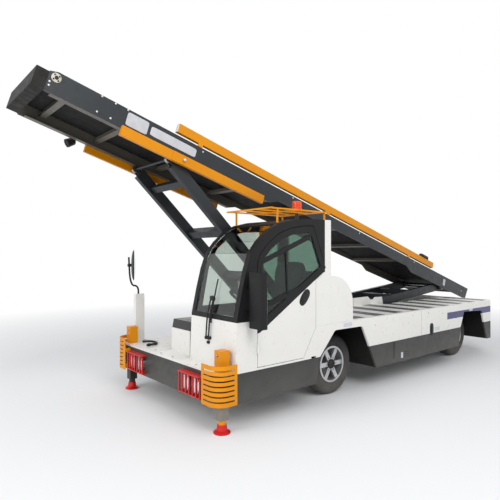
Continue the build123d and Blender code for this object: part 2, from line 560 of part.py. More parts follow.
def hinge_pin(z):
    """The cab's half of a hinge: an ear above and below the barrel with the pin through them."""
    for low in (z - HINGE_BARREL / 2 - SEAT_GAP - HINGE_EAR, z + HINGE_BARREL / 2 + SEAT_GAP):
        with BuildSketch(Plane.XY.offset(low)) as section:
            with Locations((HINGE_X, HINGE_Y)):
                Circle(HINGE_BARREL_R)
            with Locations((HINGE_X + HINGE_LEAF_REACH / 2, HALF_WIDTH + HINGE_LEAF / 2)):
                Rectangle(HINGE_LEAF_REACH, HINGE_LEAF)
        extrude(section.sketch, amount=HINGE_EAR)
    with BuildSketch(Plane.XY.offset(z - HINGE_BARREL / 2 - HINGE_EAR)) as pin:
        with Locations((HINGE_X, HINGE_Y)):
            Circle(HINGE_PIN_R)
    extrude(pin.sketch, amount=HINGE_BARREL + 2 * HINGE_EAR)


# Cab side profile: offsets ahead of the front axle and heights, from the foot of the front up and back
CAB_PROFILE = [(1620, PLATFORM_TOP_Z), (1600, WAIST_Z), (1545, 1290), (1490, 1500), (1430, 1660), (1330, 1780),
               (1200, 1890), (1050, 1962), (850, 2005), (600, ROOF_Z), (280, ROOF_Z), (280, PLATFORM_TOP_Z)]
DOOR_OUTLINE = [(1350, PLATFORM_TOP_Z + DOOR_GAP), (1350, 1560), (1310, 1650), (1215, 1750), (1070, 1850), (900, 1910),
                (700, 1940), (565, 1945), (372, 1500), (410, 1448), (530, 1376), (530, 865), (600, 758),
                (703, 596), (720, PLATFORM_TOP_Z + DOOR_GAP)]
BLACK_LINE = [(280, 1375), (530, 1375), (1319, 893), (1376, 882), (1600, WAIST_Z)]
WINDOW_OUTLINE = [(1290, 1010), (1290, 1540), (1250, 1620), (1170, 1700), (1040, 1790), (880, 1845), (700, 1872),
                  (605, 1876), (450, 1520), (480, 1490)]


def cab_points(points):
    """Outline points measured from the front axle, as places along the vehicle."""
    return [(FRONT_AXLE_X + dx, z) for dx, z in points]


def cab_ring(wall):
    """The front, roof and rear of the cab as one bent wall, by its thickness, as a sketch in the side view."""
    with BuildSketch(side(0)) as ring:
        Polygon(*cab_points(CAB_PROFILE), align=None)
        with BuildSketch(side(0), mode=Mode.PRIVATE) as inside:
            Polygon(*cab_points(CAB_PROFILE), align=None)
            offset(amount=-wall, kind=Kind.INTERSECTION)
        add(inside.sketch, mode=Mode.SUBTRACT)
    return ring.sketch


BLACK_FRONT_Z = 1010
with BuildPart() as cab_shell:
    extrude(cab_ring(CAB_WALL).moved(Location((0, HALF_WIDTH, 0))), amount=HALF_WIDTH - CAB_INNER_Y)
    panel(cab_points(CAB_PROFILE), (HALF_WIDTH - CAB_WALL, HALF_WIDTH))
    panel(cab_points(CAB_PROFILE), (CAB_INNER_Y, CAB_INNER_Y + CAB_WALL))
    with BuildSketch(side(HALF_WIDTH + 1)) as opening:
        Polygon(*cab_points(DOOR_OUTLINE), align=None)
        offset(amount=DOOR_GAP, kind=Kind.INTERSECTION)
    extrude(opening.sketch, amount=DOOR_THICKNESS + DOOR_GAP, mode=Mode.SUBTRACT)
    block((CAB_REAR_X + 340, FRONT_AXLE_X + 2000), (CAB_INNER_Y - 1, HALF_WIDTH + 1),
          (BLACK_FRONT_Z, ROOF_Z + 1), Mode.SUBTRACT)
    block((CAB_REAR_X + 100, FRONT_AXLE_X + 2000), (CAB_INNER_Y + CAB_WALL, HALF_WIDTH + 1),
          (1450, ROOF_Z + 1), Mode.SUBTRACT)
    block((CAB_REAR_X + 100, CAB_REAR_X + 341), (CAB_INNER_Y - 1, CAB_INNER_Y + CAB_WALL + 1),
          (1100, 1880), Mode.SUBTRACT)
    block((CAB_REAR_X - 1, CAB_REAR_X + CAB_WALL + 1), (CAB_INNER_Y + 120, HALF_WIDTH - 120),
          (1450, 1880), Mode.SUBTRACT)
    block((CAB_REAR_X - 1, DOOR_REAR_X - DOOR_GAP), (CAB_INNER_Y + CAB_WALL, HALF_WIDTH + 1),
          (PLATFORM_TOP_Z - 1, SEAM_Z + SEAM), Mode.SUBTRACT)
    block((CAB_REAR_X - 1, STEP_X), (CAB_INNER_Y + CAB_WALL, HALF_WIDTH - SKIN), (PLATFORM_TOP_Z - 1, PLATFORM_TOP_Z + 1),
          Mode.SUBTRACT)
    hinge_pin(HINGES_Z[0])

# Black frame of the windscreen, front pillars, roof and inner side window
with BuildPart() as cab_frame:
    extrude(cab_ring(CAB_WALL).moved(Location((0, HALF_WIDTH, 0))), amount=HALF_WIDTH - CAB_INNER_Y)
    panel(cab_points(CAB_PROFILE), (HALF_WIDTH - CAB_WALL, HALF_WIDTH))
    panel(cab_points(CAB_PROFILE), (CAB_INNER_Y, CAB_INNER_Y + CAB_WALL))
    with BuildSketch(side(HALF_WIDTH + 1)) as opening:
        Polygon(*cab_points(DOOR_OUTLINE), align=None)
        offset(amount=DOOR_GAP, kind=Kind.INTERSECTION)
    extrude(opening.sketch, amount=DOOR_THICKNESS + DOOR_GAP, mode=Mode.SUBTRACT)
    block((CAB_REAR_X - 1, CAB_REAR_X + 100), (CAB_INNER_Y - 1, HALF_WIDTH + 1), (0, ROOF_Z + 1), Mode.SUBTRACT)
    block((CAB_REAR_X + 99, CAB_REAR_X + 340), (CAB_INNER_Y - 1, CAB_INNER_Y + CAB_WALL), (0, ROOF_Z + 1),
          Mode.SUBTRACT)
    block((CAB_REAR_X + 99, CAB_REAR_X + 340), (CAB_INNER_Y - 1, HALF_WIDTH + 1), (0, 1450), Mode.SUBTRACT)
    block((CAB_REAR_X - 1, FRONT_AXLE_X + 2000), (CAB_INNER_Y - 1, HALF_WIDTH + 1), (0, BLACK_FRONT_Z), Mode.SUBTRACT)
    block((FRONT_AXLE_X + 1060, FRONT_AXLE_X + 2000), (CAB_INNER_Y + 60, HALF_WIDTH - 60),
          (BLACK_FRONT_Z + 50, ROOF_Z + 1), Mode.SUBTRACT)
    panel(cab_points([(660, 1100), (1480, 1100), (1400, 1500), (1290, 1700), (1100, 1850), (900, 1890), (660, 1900)]),
          (CAB_INNER_Y - 1, CAB_INNER_Y + CAB_WALL + 1), Mode.SUBTRACT)
    hinge_pin(HINGES_Z[1])

GLASS = 8
GLASS_INSET = 10
with BuildPart() as cab_glass:
    with BuildSketch(side(HALF_WIDTH - 60 - SEAT_GAP)) as screen:
        Polygon(*cab_points(CAB_PROFILE), align=None)
        offset(amount=-GLASS_INSET, kind=Kind.INTERSECTION)
        with BuildSketch(side(HALF_WIDTH - 60 - SEAT_GAP), mode=Mode.PRIVATE) as inside:
            Polygon(*cab_points(CAB_PROFILE), align=None)
            offset(amount=-GLASS_INSET - GLASS, kind=Kind.INTERSECTION)
        add(inside.sketch, mode=Mode.SUBTRACT)
    extrude(screen.sketch, amount=HALF_WIDTH - CAB_INNER_Y - 120 - 2 * SEAT_GAP)
    block((CAB_REAR_X - 1, FRONT_AXLE_X + 1060 + SEAT_GAP), (CAB_INNER_Y, HALF_WIDTH), (0, ROOF_Z), Mode.SUBTRACT)
    block((CAB_REAR_X - 1, FRONT_AXLE_X + 2000), (CAB_INNER_Y, HALF_WIDTH), (0, BLACK_FRONT_Z + 50 + SEAT_GAP),
          Mode.SUBTRACT)
    with BuildSketch(side(CAB_INNER_Y + GLASS_INSET + GLASS)) as pane:
        Polygon(*cab_points([(660, 1100), (1480, 1100), (1400, 1500), (1290, 1700), (1100, 1850), (900, 1890),
                             (660, 1900)]), align=None)
        offset(amount=-SEAT_GAP, kind=Kind.INTERSECTION)
    extrude(pane.sketch, amount=GLASS)
    block((CAB_REAR_X + 100 + SEAT_GAP, CAB_REAR_X + 340 - SEAT_GAP), (CAB_INNER_Y + GLASS_INSET, CAB_INNER_Y + GLASS_INSET + GLASS),
          (1100 + SEAT_GAP, 1880 - SEAT_GAP))
    block((CAB_REAR_X + GLASS_INSET, CAB_REAR_X + GLASS_INSET + GLASS),
          (CAB_INNER_Y + 120 + SEAT_GAP, HALF_WIDTH - 120 - SEAT_GAP), (1450 + SEAT_GAP, 1880 - SEAT_GAP))

# Door: a white lower panel, a black window frame and its glass, all on the front hinges
DOOR_Y = (HALF_WIDTH - DOOR_THICKNESS, HALF_WIDTH)
FAR = 4000


def below_black(points):
    """The outline of what lies under the slanted lower edge of the black window area."""
    return cab_points(points) + [(FRONT_AXLE_X + 1600, 0), (FRONT_AXLE_X + 280, 0)]


with BuildPart() as door_panel:
    panel(cab_points(DOOR_OUTLINE), DOOR_Y)
    panel(below_black(BLACK_LINE), (HALF_WIDTH - 100, HALF_WIDTH + 1), Mode.INTERSECT)
    hinge_barrel(HINGES_Z[0])

with BuildPart() as door_frame:
    panel(cab_points(DOOR_OUTLINE), DOOR_Y)
    panel(below_black(BLACK_LINE), (HALF_WIDTH - 100, HALF_WIDTH + 1), Mode.SUBTRACT)
    panel(cab_points(WINDOW_OUTLINE), (HALF_WIDTH - 100, HALF_WIDTH + 1), Mode.SUBTRACT)
    hinge_barrel(HINGES_Z[1])

with BuildPart() as door_glass:
    with BuildSketch(side(HALF_WIDTH - GLASS_INSET)) as pane:
        Polygon(*cab_points(WINDOW_OUTLINE), align=None)
        offset(amount=-SEAT_GAP, kind=Kind.INTERSECTION)
    extrude(pane.sketch, amount=GLASS)

# Rounded housing behind the cab
COWL_FRONT_X = CAB_REAR_X - SEAM
COWL_REAR_X = FRONT_AXLE_X - 107
COWL_TOP_Z = 1400
COWL_ROUND = 330
with BuildPart() as rear_cowl:
    with BuildSketch(side(HALF_WIDTH)) as profile:
        with BuildLine():
            start = (COWL_REAR_X, SEAM_Z + SEAM)
            Polyline(start, (COWL_FRONT_X, SEAM_Z + SEAM), (COWL_FRONT_X, COWL_TOP_Z),
                     (COWL_REAR_X + COWL_ROUND, COWL_TOP_Z))
            RadiusArc((COWL_REAR_X + COWL_ROUND, COWL_TOP_Z), (COWL_REAR_X, COWL_TOP_Z - COWL_ROUND), -COWL_ROUND)
            Line((COWL_REAR_X, COWL_TOP_Z - COWL_ROUND), start)
        make_face()
    extrude(profile.sketch, amount=HALF_WIDTH - CAB_INNER_Y)

# Driver's seat and the dashboard with the steering wheel
SEAT_X = FRONT_AXLE_X + 760
SEAT_Y = 650
SEAT_HALF = 220
with BuildPart() as seat:
    block((SEAT_X - 200, SEAT_X + 160), (SEAT_Y - SEAT_HALF, SEAT_Y + SEAT_HALF), (CAB_FLOOR_Z, 860))
    block((SEAT_X - 220, SEAT_X + 240), (SEAT_Y - SEAT_HALF - 20, SEAT_Y + SEAT_HALF + 20), (860, 1000))
    panel([(SEAT_X - 220, 1000), (SEAT_X - 90, 1000), (SEAT_X - 190, 1560), (SEAT_X - 280, 1560)],
          (SEAT_Y - SEAT_HALF, SEAT_Y + SEAT_HALF))

DASH_FRONT_X = FRONT_AXLE_X + 1560
STEERING_X = FRONT_AXLE_X + 1180
STEERING_Z = 1180
STEERING_R = 190
STEERING_TILT = 35
with BuildPart() as dashboard:
    panel([(DASH_FRONT_X - 230, CAB_FLOOR_Z), (DASH_FRONT_X, CAB_FLOOR_Z), (DASH_FRONT_X, 930),
           (DASH_FRONT_X - 60, 1000), (DASH_FRONT_X - 230, 960)], (CAB_INNER_Y + CAB_WALL + 5, HALF_WIDTH - CAB_WALL - 20))
    wheel_plane_tilted = Plane(origin=(STEERING_X, SEAT_Y, STEERING_Z),
                               z_dir=(-sin(radians(STEERING_TILT)), 0, cos(radians(STEERING_TILT))))
    with BuildSketch(wheel_plane_tilted.offset(-12)) as ring:
        Circle(STEERING_R)
        Circle(STEERING_R - 26, mode=Mode.SUBTRACT)
        Circle(38)
        with PolarLocations(0, 3, start_angle=90):
            with Locations((STEERING_R / 2, 0)):
                Rectangle(STEERING_R - 20, 26)
    extrude(ring.sketch, amount=24)
    with BuildSketch(wheel_plane_tilted) as column:
        Circle(24)
    extrude(column.sketch, amount=-330)

# Mirrors, roof rack and beacon
with BuildPart() as side_mirror:
    with BuildSketch(Plane.XY.offset(960)) as housing:
        with Locations((FRONT_AXLE_X + 1455, HALF_WIDTH + 130)):
            RectangleRounded(90, 190, 30)
    extrude(housing.sketch, amount=520)
    for z in (1080, 1320):
        block((FRONT_AXLE_X + 1440, FRONT_AXLE_X + 1470), (HALF_WIDTH, HALF_WIDTH + 60), (z, z + 30))

RACK_Z = 2110
ROD_R = 8
RACK_FRONT_X = FRONT_AXLE_X + 1150
RACK_REAR_X = FRONT_AXLE_X + 340
RACK_LEFT_Y = 985
RACK_RIGHT_Y = 320
with BuildPart() as roof_rack:
    for y in (RACK_RIGHT_Y, 540, 760, RACK_LEFT_Y):
        block((RACK_REAR_X, RACK_FRONT_X), (y - ROD_R, y + ROD_R), (RACK_Z - ROD_R, RACK_Z + ROD_R))
    for x in (RACK_REAR_X, RACK_REAR_X + 400, RACK_FRONT_X):
        block((x - ROD_R, x + ROD_R), (RACK_RIGHT_Y - 40, RACK_LEFT_Y + 40), (RACK_Z - ROD_R, RACK_Z + ROD_R))
    for y in (RACK_RIGHT_Y, RACK_LEFT_Y):
        block((RACK_REAR_X - ROD_R, RACK_REAR_X + ROD_R), (y - ROD_R, y + ROD_R), (ROOF_Z, RACK_Z))
        block((FRONT_AXLE_X + 1050 - ROD_R, FRONT_AXLE_X + 1050 + ROD_R), (y - ROD_R, y + ROD_R), (1964, RACK_Z))

BEACON_X = FRONT_AXLE_X + 430
BEACON_Y = 650
BEACON_R = 55
with BuildPart() as beacon:
    with BuildSketch(Plane.XY.offset(ROOF_Z)) as stem:
        with Locations((BEACON_X, BEACON_Y)):
            Circle(18)
    extrude(stem.sketch, amount=110)
    with BuildSketch(Plane.XY.offset(ROOF_Z + 110)) as lens:
        with Locations((BEACON_X, BEACON_Y)):
            Circle(BEACON_R)
    extrude(lens.sketch, amount=120)
    fillet(beacon.faces().sort_by(Axis.Z)[-1].edges(), 12)

BOOM_REST_X = (FRONT_AXLE_X + 1200, FRONT_AXLE_X + 1560)
BOOM_REST_Y = (-220, 160)
BOOM_REST_Z = 820
with BuildPart() as boom_rest:
    block(BOOM_REST_X, BOOM_REST_Y, (PLATFORM_TOP_Z, BOOM_REST_Z))
    panel([(BOOM_REST_X[0] + 10, BOOM_REST_Z), (BOOM_REST_X[1] - 5, BOOM_REST_Z), (BOOM_REST_X[1] - 25, 915),
           (BOOM_REST_X[0] + 30, 915)], (BOOM_REST_Y[0] + 5, BOOM_REST_Y[1] - 5))

POST_X = FRONT_AXLE_X + 1585
POST_Y = -980
POST_WIDTH = 120
POST_TOP_Z = 1150
with BuildPart() as mirror_post:
    block((POST_X - POST_WIDTH / 2, POST_X + POST_WIDTH / 2), (POST_Y - 30, POST_Y + 30), (PLATFORM_TOP_Z, POST_TOP_Z))
    with BuildLine() as path:
        FilletPolyline((POST_X + 10, POST_Y, POST_TOP_Z - 40), (POST_X + 10, POST_Y, POST_TOP_Z + 100),
                       (POST_X + 120, POST_Y, POST_TOP_Z + 110), (POST_X + 140, POST_Y, POST_TOP_Z + 460), radius=45)
    with BuildSketch(Plane(origin=path.line @ 0, z_dir=path.line % 0)):
        Circle(11)
    sweep()
    with BuildSketch(Plane(origin=(POST_X + 115, POST_Y, 1510), z_dir=(-1, 0, 0))) as face:
        Circle(190)
    extrude(face.sketch, amount=45)
    block((POST_X + 110, POST_X + 145), (POST_Y - 20, POST_Y + 20), (1490, 1530))

# Drive battery between the rails
with BuildPart() as battery:
    block((FRONT_AXLE_X - 1210, FRONT_AXLE_X - 440), (-RAIL_INNER_Y + 5, RAIL_INNER_Y - 5),
          (RAIL_TOP_Z - RAIL_WALL, DECK_TOP_Z - DECK_THICKNESS))

# White notched plates that carry the rear lift arm
BRACKET_PLATE = 12
ARM_BEAM_Z = (812, 852)
BRACKET_Y = REAR_ARM_HALF_GAUGE + ARM_TUBE_WIDTH / 2 + 5
BRACKET_OUTLINE = [(-1270, DECK_TOP_Z), (-1270, 1000), (-1620, 1005), (-1690, 955), (-1760, 955), (-1800, 985),
                   (-1985, 980), (-2015, 850), (-1960, 820), (-1855, 820), (-1855, DECK_TOP_Z)]
with BuildPart() as arm_brackets:
    for hand in (1, -1):
        near = BOOM_Y + hand * BRACKET_Y
        far = BOOM_Y + hand * (BRACKET_Y + BRACKET_PLATE)
        panel([(FRONT_AXLE_X + dx, z) for dx, z in BRACKET_OUTLINE], sorted((near, far)))
        disc(REAR_ARM_PIVOT_X, REAR_ARM_PIVOT_Z, ARM_PIN_R,
             sorted((far, BOOM_Y + hand * (REAR_ARM_HALF_GAUGE - ARM_TUBE_WIDTH / 2 - 10))))
    for hand in (1, -1):
        near = BOOM_Y + hand * (FRONT_ARM_HALF_GAUGE - ARM_TUBE_WIDTH / 2 - 5 - BRACKET_PLATE)
        far = BOOM_Y + hand * (FRONT_ARM_HALF_GAUGE - ARM_TUBE_WIDTH / 2 - 5)
        panel([(FRONT_ARM_PIVOT_X - 60, 1010), (FRONT_ARM_PIVOT_X - 60, ARM_BEAM_Z[0]),
               (FRONT_ARM_PIVOT_X + 60, ARM_BEAM_Z[0]), (FRONT_ARM_PIVOT_X + 60, 1010)], sorted((near, far)))
        disc(FRONT_ARM_PIVOT_X, FRONT_ARM_PIVOT_Z, ARM_PIN_R,
             sorted((near, BOOM_Y + hand * (FRONT_ARM_HALF_GAUGE + ARM_TUBE_WIDTH / 2 + 10))))
    block((FRONT_ARM_PIVOT_X - 60, FRONT_ARM_PIVOT_X + 60),
          (BOOM_Y - FRONT_ARM_HALF_GAUGE + ARM_TUBE_WIDTH / 2 + 5, BOOM_Y + FRONT_ARM_HALF_GAUGE - ARM_TUBE_WIDTH / 2 - 5),
          ARM_BEAM_Z)
    for hand in (1, -1):
        block((FRONT_ARM_PIVOT_X - 60, FRONT_ARM_PIVOT_X + 60), mirrored((RAIL_INNER_Y, RAIL_OUTER_Y), hand),
              (RAIL_TOP_Z, ARM_BEAM_Z[0]))
    block((FRONT_ARM_PIVOT_X - 60, FRONT_ARM_PIVOT_X + 60), (0, RAIL_OUTER_Y), ARM_BEAM_Z)

# Front lift arm: two tubes, its cross tubes, the tip plates and the track rollers
FRONT_TIP_W = BOOM_BOTTOM_W - TRACK_ROLLER_R - TRACK_GAP
tip_u = (FRONT_ARM_TIP_X - BOOM_PIVOT_X + FRONT_TIP_W * sin(radians(BOOM_ANGLE))) / cos(radians(BOOM_ANGLE))
tip_x, tip_z = boom_point(tip_u, FRONT_TIP_W)
front_arm_direction = Vector(tip_x - FRONT_ARM_PIVOT_X, 0, tip_z - FRONT_ARM_PIVOT_Z)
FRONT_ARM_LENGTH = front_arm_direction.length
FRONT_ARM_ANGLE = Vector(1, 0, 0).get_signed_angle(front_arm_direction, Vector(0, -1, 0))
FRONT_ARM_LUG_R = 450
FRONT_ARM_LUG_W = 0


def arm_panel(points, y, pivot, angle, mode=Mode.ADD):
    """An outline in a lift arm's own frame, from its pivot along it, between offsets from the boom's middle."""
    panel(points, (BOOM_Y + y[0], BOOM_Y + y[1]), mode, pivot, angle)


def arm_block(r, w, y, pivot, angle, mode=Mode.ADD):
    """A box in a lift arm's own frame."""
    arm_panel([(r[0], w[0]), (r[1], w[0]), (r[1], w[1]), (r[0], w[1])], y, pivot, angle, mode)


def arm_point(r, w, pivot, angle):
    """The place in the side view of a point of a lift arm."""
    c = cos(radians(angle))
    s = sin(radians(angle))
    return pivot[0] + r * c - w * s, pivot[1] + r * s + w * c


FRONT_PIVOT = (FRONT_ARM_PIVOT_X, FRONT_ARM_PIVOT_Z)
with BuildPart() as front_arm:
    half = ARM_TUBE_DEPTH / 2
    for hand in (1, -1):
        tube = sorted((hand * (FRONT_ARM_HALF_GAUGE - ARM_TUBE_WIDTH / 2),
                       hand * (FRONT_ARM_HALF_GAUGE + ARM_TUBE_WIDTH / 2)))
        arm_block((0, FRONT_ARM_LENGTH - 70), (-half, half), tube, FRONT_PIVOT, FRONT_ARM_ANGLE)
        disc(*FRONT_PIVOT, half, [BOOM_Y + y for y in tube])
        for edge in (-1, 1):
            middle = hand * FRONT_ARM_HALF_GAUGE + edge * 28
            arm_block((FRONT_ARM_LENGTH - 75, FRONT_ARM_LENGTH), (-30, 30), (middle - 5, middle + 5),
                      FRONT_PIVOT, FRONT_ARM_ANGLE)
            disc(tip_x, tip_z, 30, (BOOM_Y + middle - 5, BOOM_Y + middle + 5))
    arm_block((1300, 1400), (-40, 40), (-FRONT_ARM_HALF_GAUGE, FRONT_ARM_HALF_GAUGE), FRONT_PIVOT, FRONT_ARM_ANGLE)
    arm_block((2050, 2130), (-30, 30), (-FRONT_ARM_HALF_GAUGE, FRONT_ARM_HALF_GAUGE), FRONT_PIVOT, FRONT_ARM_ANGLE)
    arm_block((FRONT_ARM_LUG_R + 95, FRONT_ARM_LUG_R + 165), (-40, 40), (-FRONT_ARM_HALF_GAUGE, FRONT_ARM_HALF_GAUGE),
              FRONT_PIVOT, FRONT_ARM_ANGLE)
    for middle in FRONT_CYLINDER_OFFSETS:
        for shift in (-1, 1):
            y = middle + shift * (CYLINDER_EYE_WIDTH / 2 + LUG_GAP + LUG / 2)
            arm_block((FRONT_ARM_LUG_R - 30, FRONT_ARM_LUG_R + 105), (-30, 30), (y - LUG / 2, y + LUG / 2),
                      FRONT_PIVOT, FRONT_ARM_ANGLE)
    for hand in (1, -1):
        disc(*FRONT_PIVOT, ARM_PIN_R + FIT, sorted((BOOM_Y + hand * 300, BOOM_Y + hand * 450)), Mode.SUBTRACT)
    disc(tip_x, tip_z, 15, (BOOM_Y - FRONT_ARM_HALF_GAUGE - 33, BOOM_Y + FRONT_ARM_HALF_GAUGE + 33))

with BuildPart() as track_rollers:
    for hand in (1, -1):
        middle = BOOM_Y + hand * FRONT_ARM_HALF_GAUGE
        disc(tip_x, tip_z, TRACK_ROLLER_R, (middle - 20, middle + 20))
        disc(tip_x, tip_z, 15 + FIT, (middle - 21, middle + 21), Mode.SUBTRACT)

# Rear lift arm: two tubes between the deck's brackets and the trunnion
REAR_PIVOT = (REAR_ARM_PIVOT_X, REAR_ARM_PIVOT_Z)
rear_arm_direction = Vector(BOOM_PIVOT_X - REAR_ARM_PIVOT_X, 0, BOOM_PIVOT_Z - REAR_ARM_PIVOT_Z)
REAR_ARM_LENGTH = rear_arm_direction.length
REAR_ARM_ANGLE = Vector(1, 0, 0).get_signed_angle(rear_arm_direction, Vector(0, -1, 0))
REAR_ARM_LUG_R = 1040
REAR_ARM_LUG_W = 95
with BuildPart() as rear_arm:
    half = ARM_TUBE_DEPTH / 2
    for hand in (1, -1):
        tube = sorted((hand * (REAR_ARM_HALF_GAUGE - ARM_TUBE_WIDTH / 2),
                       hand * (REAR_ARM_HALF_GAUGE + ARM_TUBE_WIDTH / 2)))
        arm_block((0, REAR_ARM_LENGTH), (-half, half), tube, REAR_PIVOT, REAR_ARM_ANGLE)
        for x, z in (REAR_PIVOT, (BOOM_PIVOT_X, BOOM_PIVOT_Z)):
            disc(x, z, half, [BOOM_Y + y for y in tube])
    for r in (500, REAR_ARM_LUG_R):
        arm_block((r - 40, r + 40), (-40, 40), (-REAR_ARM_HALF_GAUGE, REAR_ARM_HALF_GAUGE), REAR_PIVOT, REAR_ARM_ANGLE)
    for middle in REAR_CYLINDER_OFFSETS:
        for shift in (-1, 1):
            y = middle + shift * (CYLINDER_EYE_WIDTH / 2 + LUG_GAP + LUG / 2)
            arm_block((REAR_ARM_LUG_R - 35, REAR_ARM_LUG_R + 35), (0, REAR_ARM_LUG_W + 25), (y - LUG / 2, y + LUG / 2),
                      REAR_PIVOT, REAR_ARM_ANGLE)
    for hand in (1, -1):
        disc(*REAR_PIVOT, ARM_PIN_R + FIT, sorted((BOOM_Y + hand * 300, BOOM_Y + hand * 400)), Mode.SUBTRACT)
        disc(BOOM_PIVOT_X, BOOM_PIVOT_Z, TRUNNION_R + FIT, sorted((BOOM_Y + hand * 300, BOOM_Y + hand * 400)),
             Mode.SUBTRACT)

with BuildPart() as trunnion:
    reach = BOOM_HALF_WIDTH - BOOM_PLATE - 4
    disc(BOOM_PIVOT_X, BOOM_PIVOT_Z, TRUNNION_R, (BOOM_Y - reach, BOOM_Y + reach))
    disc(BOOM_PIVOT_X, BOOM_PIVOT_Z, TRUNNION_R + 12, (BOOM_Y - REAR_ARM_HALF_GAUGE + ARM_TUBE_WIDTH / 2 + 5,
                                                       BOOM_Y + REAR_ARM_HALF_GAUGE - ARM_TUBE_WIDTH / 2 - 5))


def cylinder(base, eye, closed, offsets):
    """The barrels and the rods of a pair of lift cylinders between two pins, as two pieces."""
    along = Vector(eye[0] - base[0], 0, eye[1] - base[1])
    length = along.length
    lean = Vector(1, 0, 0).get_signed_angle(along, Vector(0, -1, 0))
    wide = CYLINDER_EYE_WIDTH / 2
    with BuildPart() as barrels:
        for middle in offsets:
            y = BOOM_Y + middle
            disc(*base, CYLINDER_EYE_R, (y - wide, y + wide))
            with BuildSketch(Plane(origin=(base[0], y, base[1]), z_dir=along)) as round_bar:
                Circle(CYLINDER_BARREL_R)
            extrude(round_bar.sketch, amount=closed)
            with BuildSketch(Plane(origin=(base[0], y, base[1]), z_dir=along).offset(-1)) as clear:
                Circle(CYLINDER_BARREL_R + 1)
            extrude(clear.sketch, amount=31, mode=Mode.SUBTRACT)
            disc(*base, CYLINDER_EYE_R, (y - wide, y + wide))
            with BuildSketch(Plane(origin=(base[0], y, base[1]), z_dir=along).offset(50)) as bore:
                Circle(CYLINDER_ROD_R + FIT)
            extrude(bore.sketch, amount=closed, mode=Mode.SUBTRACT)
            disc(*base, CYLINDER_PIN_R + FIT, (y - wide - 1, y + wide + 1), Mode.SUBTRACT)
    with BuildPart() as rods:
        for middle in offsets:
            y = BOOM_Y + middle
            with BuildSketch(Plane(origin=(base[0], y, base[1]), z_dir=along).offset(closed - 60)) as round_bar:
                Circle(CYLINDER_ROD_R)
            extrude(round_bar.sketch, amount=length - closed + 60)
            disc(*eye, CYLINDER_EYE_R - 4, (y - wide, y + wide))
    print("cylinder", round(length, 1), "long at", round(lean, 2), "degrees, base", base, "eye", eye)
    return barrels, rods


FRONT_EYE = arm_point(FRONT_ARM_LUG_R, FRONT_ARM_LUG_W, FRONT_PIVOT, FRONT_ARM_ANGLE)
REAR_EYE = arm_point(REAR_ARM_LUG_R, REAR_ARM_LUG_W, REAR_PIVOT, REAR_ARM_ANGLE)
FRONT_BARREL = 520
REAR_BARREL = 560
front_barrels, front_rods = cylinder(FRONT_CYLINDER_BASE, FRONT_EYE, FRONT_BARREL, FRONT_CYLINDER_OFFSETS)
rear_barrels, rear_rods = cylinder(REAR_CYLINDER_BASE, REAR_EYE, REAR_BARREL, REAR_CYLINDER_OFFSETS)

# Boom frame: side plates, slider bed, cross tubes, track flanges and the rear hubs
BOOM_OUTLINE = [(TAIL_U, BOOM_TOP_W), (TAIL_U + 65, BOOM_BOTTOM_W), (1100, BOOM_BOTTOM_W), (1250, BOOM_WAIST_W),
                (4250, BOOM_WAIST_W), (4400, BOOM_BOTTOM_W), (NOSE_U, BOOM_BOTTOM_W), (NOSE_U, BOOM_TOP_W - 24),
                (NOSE_U - 70, BOOM_TOP_W)]
CROSS_TUBES_U = (1500, 2300, 3100, 3900, 4700, 5500, 6300, 6900)
CROSS_TUBE = 44
TRACK_WIDTH = 60
inner = BOOM_HALF_WIDTH - BOOM_PLATE
with BuildPart() as boom_frame:
    for hand in (1, -1):
        boom_panel(BOOM_OUTLINE, sorted((hand * inner, hand * BOOM_HALF_WIDTH)))
        boom_block((4420, NOSE_U - 60), (BOOM_BOTTOM_W, BOOM_BOTTOM_W + 8), sorted((hand * (inner - TRACK_WIDTH), hand * inner)))
        boom_disc(0, 0, 60, sorted((hand * (inner - 40), hand * inner)))
    boom_block((TAIL_U + 120, NOSE_U - 110), (150, 156), (-inner, inner))
    for u in CROSS_TUBES_U:
        boom_block((u, u + 60), (BOOM_WAIST_W, BOOM_WAIST_W + CROSS_TUBE), (-inner, inner))
    for hand in (1, -1):
        boom_disc(0, 0, TRUNNION_R + FIT, sorted((hand * (inner - 41), hand * (inner + 0.01))), Mode.SUBTRACT)

# Belt: a closed loop round the two end rollers
BELT_HALF_WIDTH = 380
ROLLER_W = BELT_TOP_W - BELT_THICKNESS - END_ROLLER_R
ROLLER_U = (TAIL_U + 70, NOSE_U - 65)
with BuildPart() as belt:
    with BuildSketch(side(BOOM_Y + BELT_HALF_WIDTH, BOOM_PIVOT_X, BOOM_PIVOT_Z, BOOM_ANGLE)) as loop:
        with Locations(((ROLLER_U[0] + ROLLER_U[1]) / 2, ROLLER_W)):
            SlotOverall(ROLLER_U[1] - ROLLER_U[0] + 2 * (END_ROLLER_R + BELT_THICKNESS), 2 * (END_ROLLER_R + BELT_THICKNESS))
            SlotOverall(ROLLER_U[1] - ROLLER_U[0] + 2 * END_ROLLER_R, 2 * END_ROLLER_R, mode=Mode.SUBTRACT)
    extrude(loop.sketch, amount=2 * BELT_HALF_WIDTH)

with BuildPart() as end_rollers:
    for u in ROLLER_U:
        boom_disc(u, ROLLER_W, END_ROLLER_R, (-BELT_HALF_WIDTH, BELT_HALF_WIDTH))
        boom_disc(u, ROLLER_W, 15, (-inner, inner))

NOSE_BUMPER = 110
with BuildPart() as nose_bumper:
    boom_block((NOSE_U, NOSE_U + NOSE_BUMPER), (BOOM_BOTTOM_W + 10, BOOM_TOP_W - 30), (-BOOM_HALF_WIDTH + 5, BOOM_HALF_WIDTH - 5))

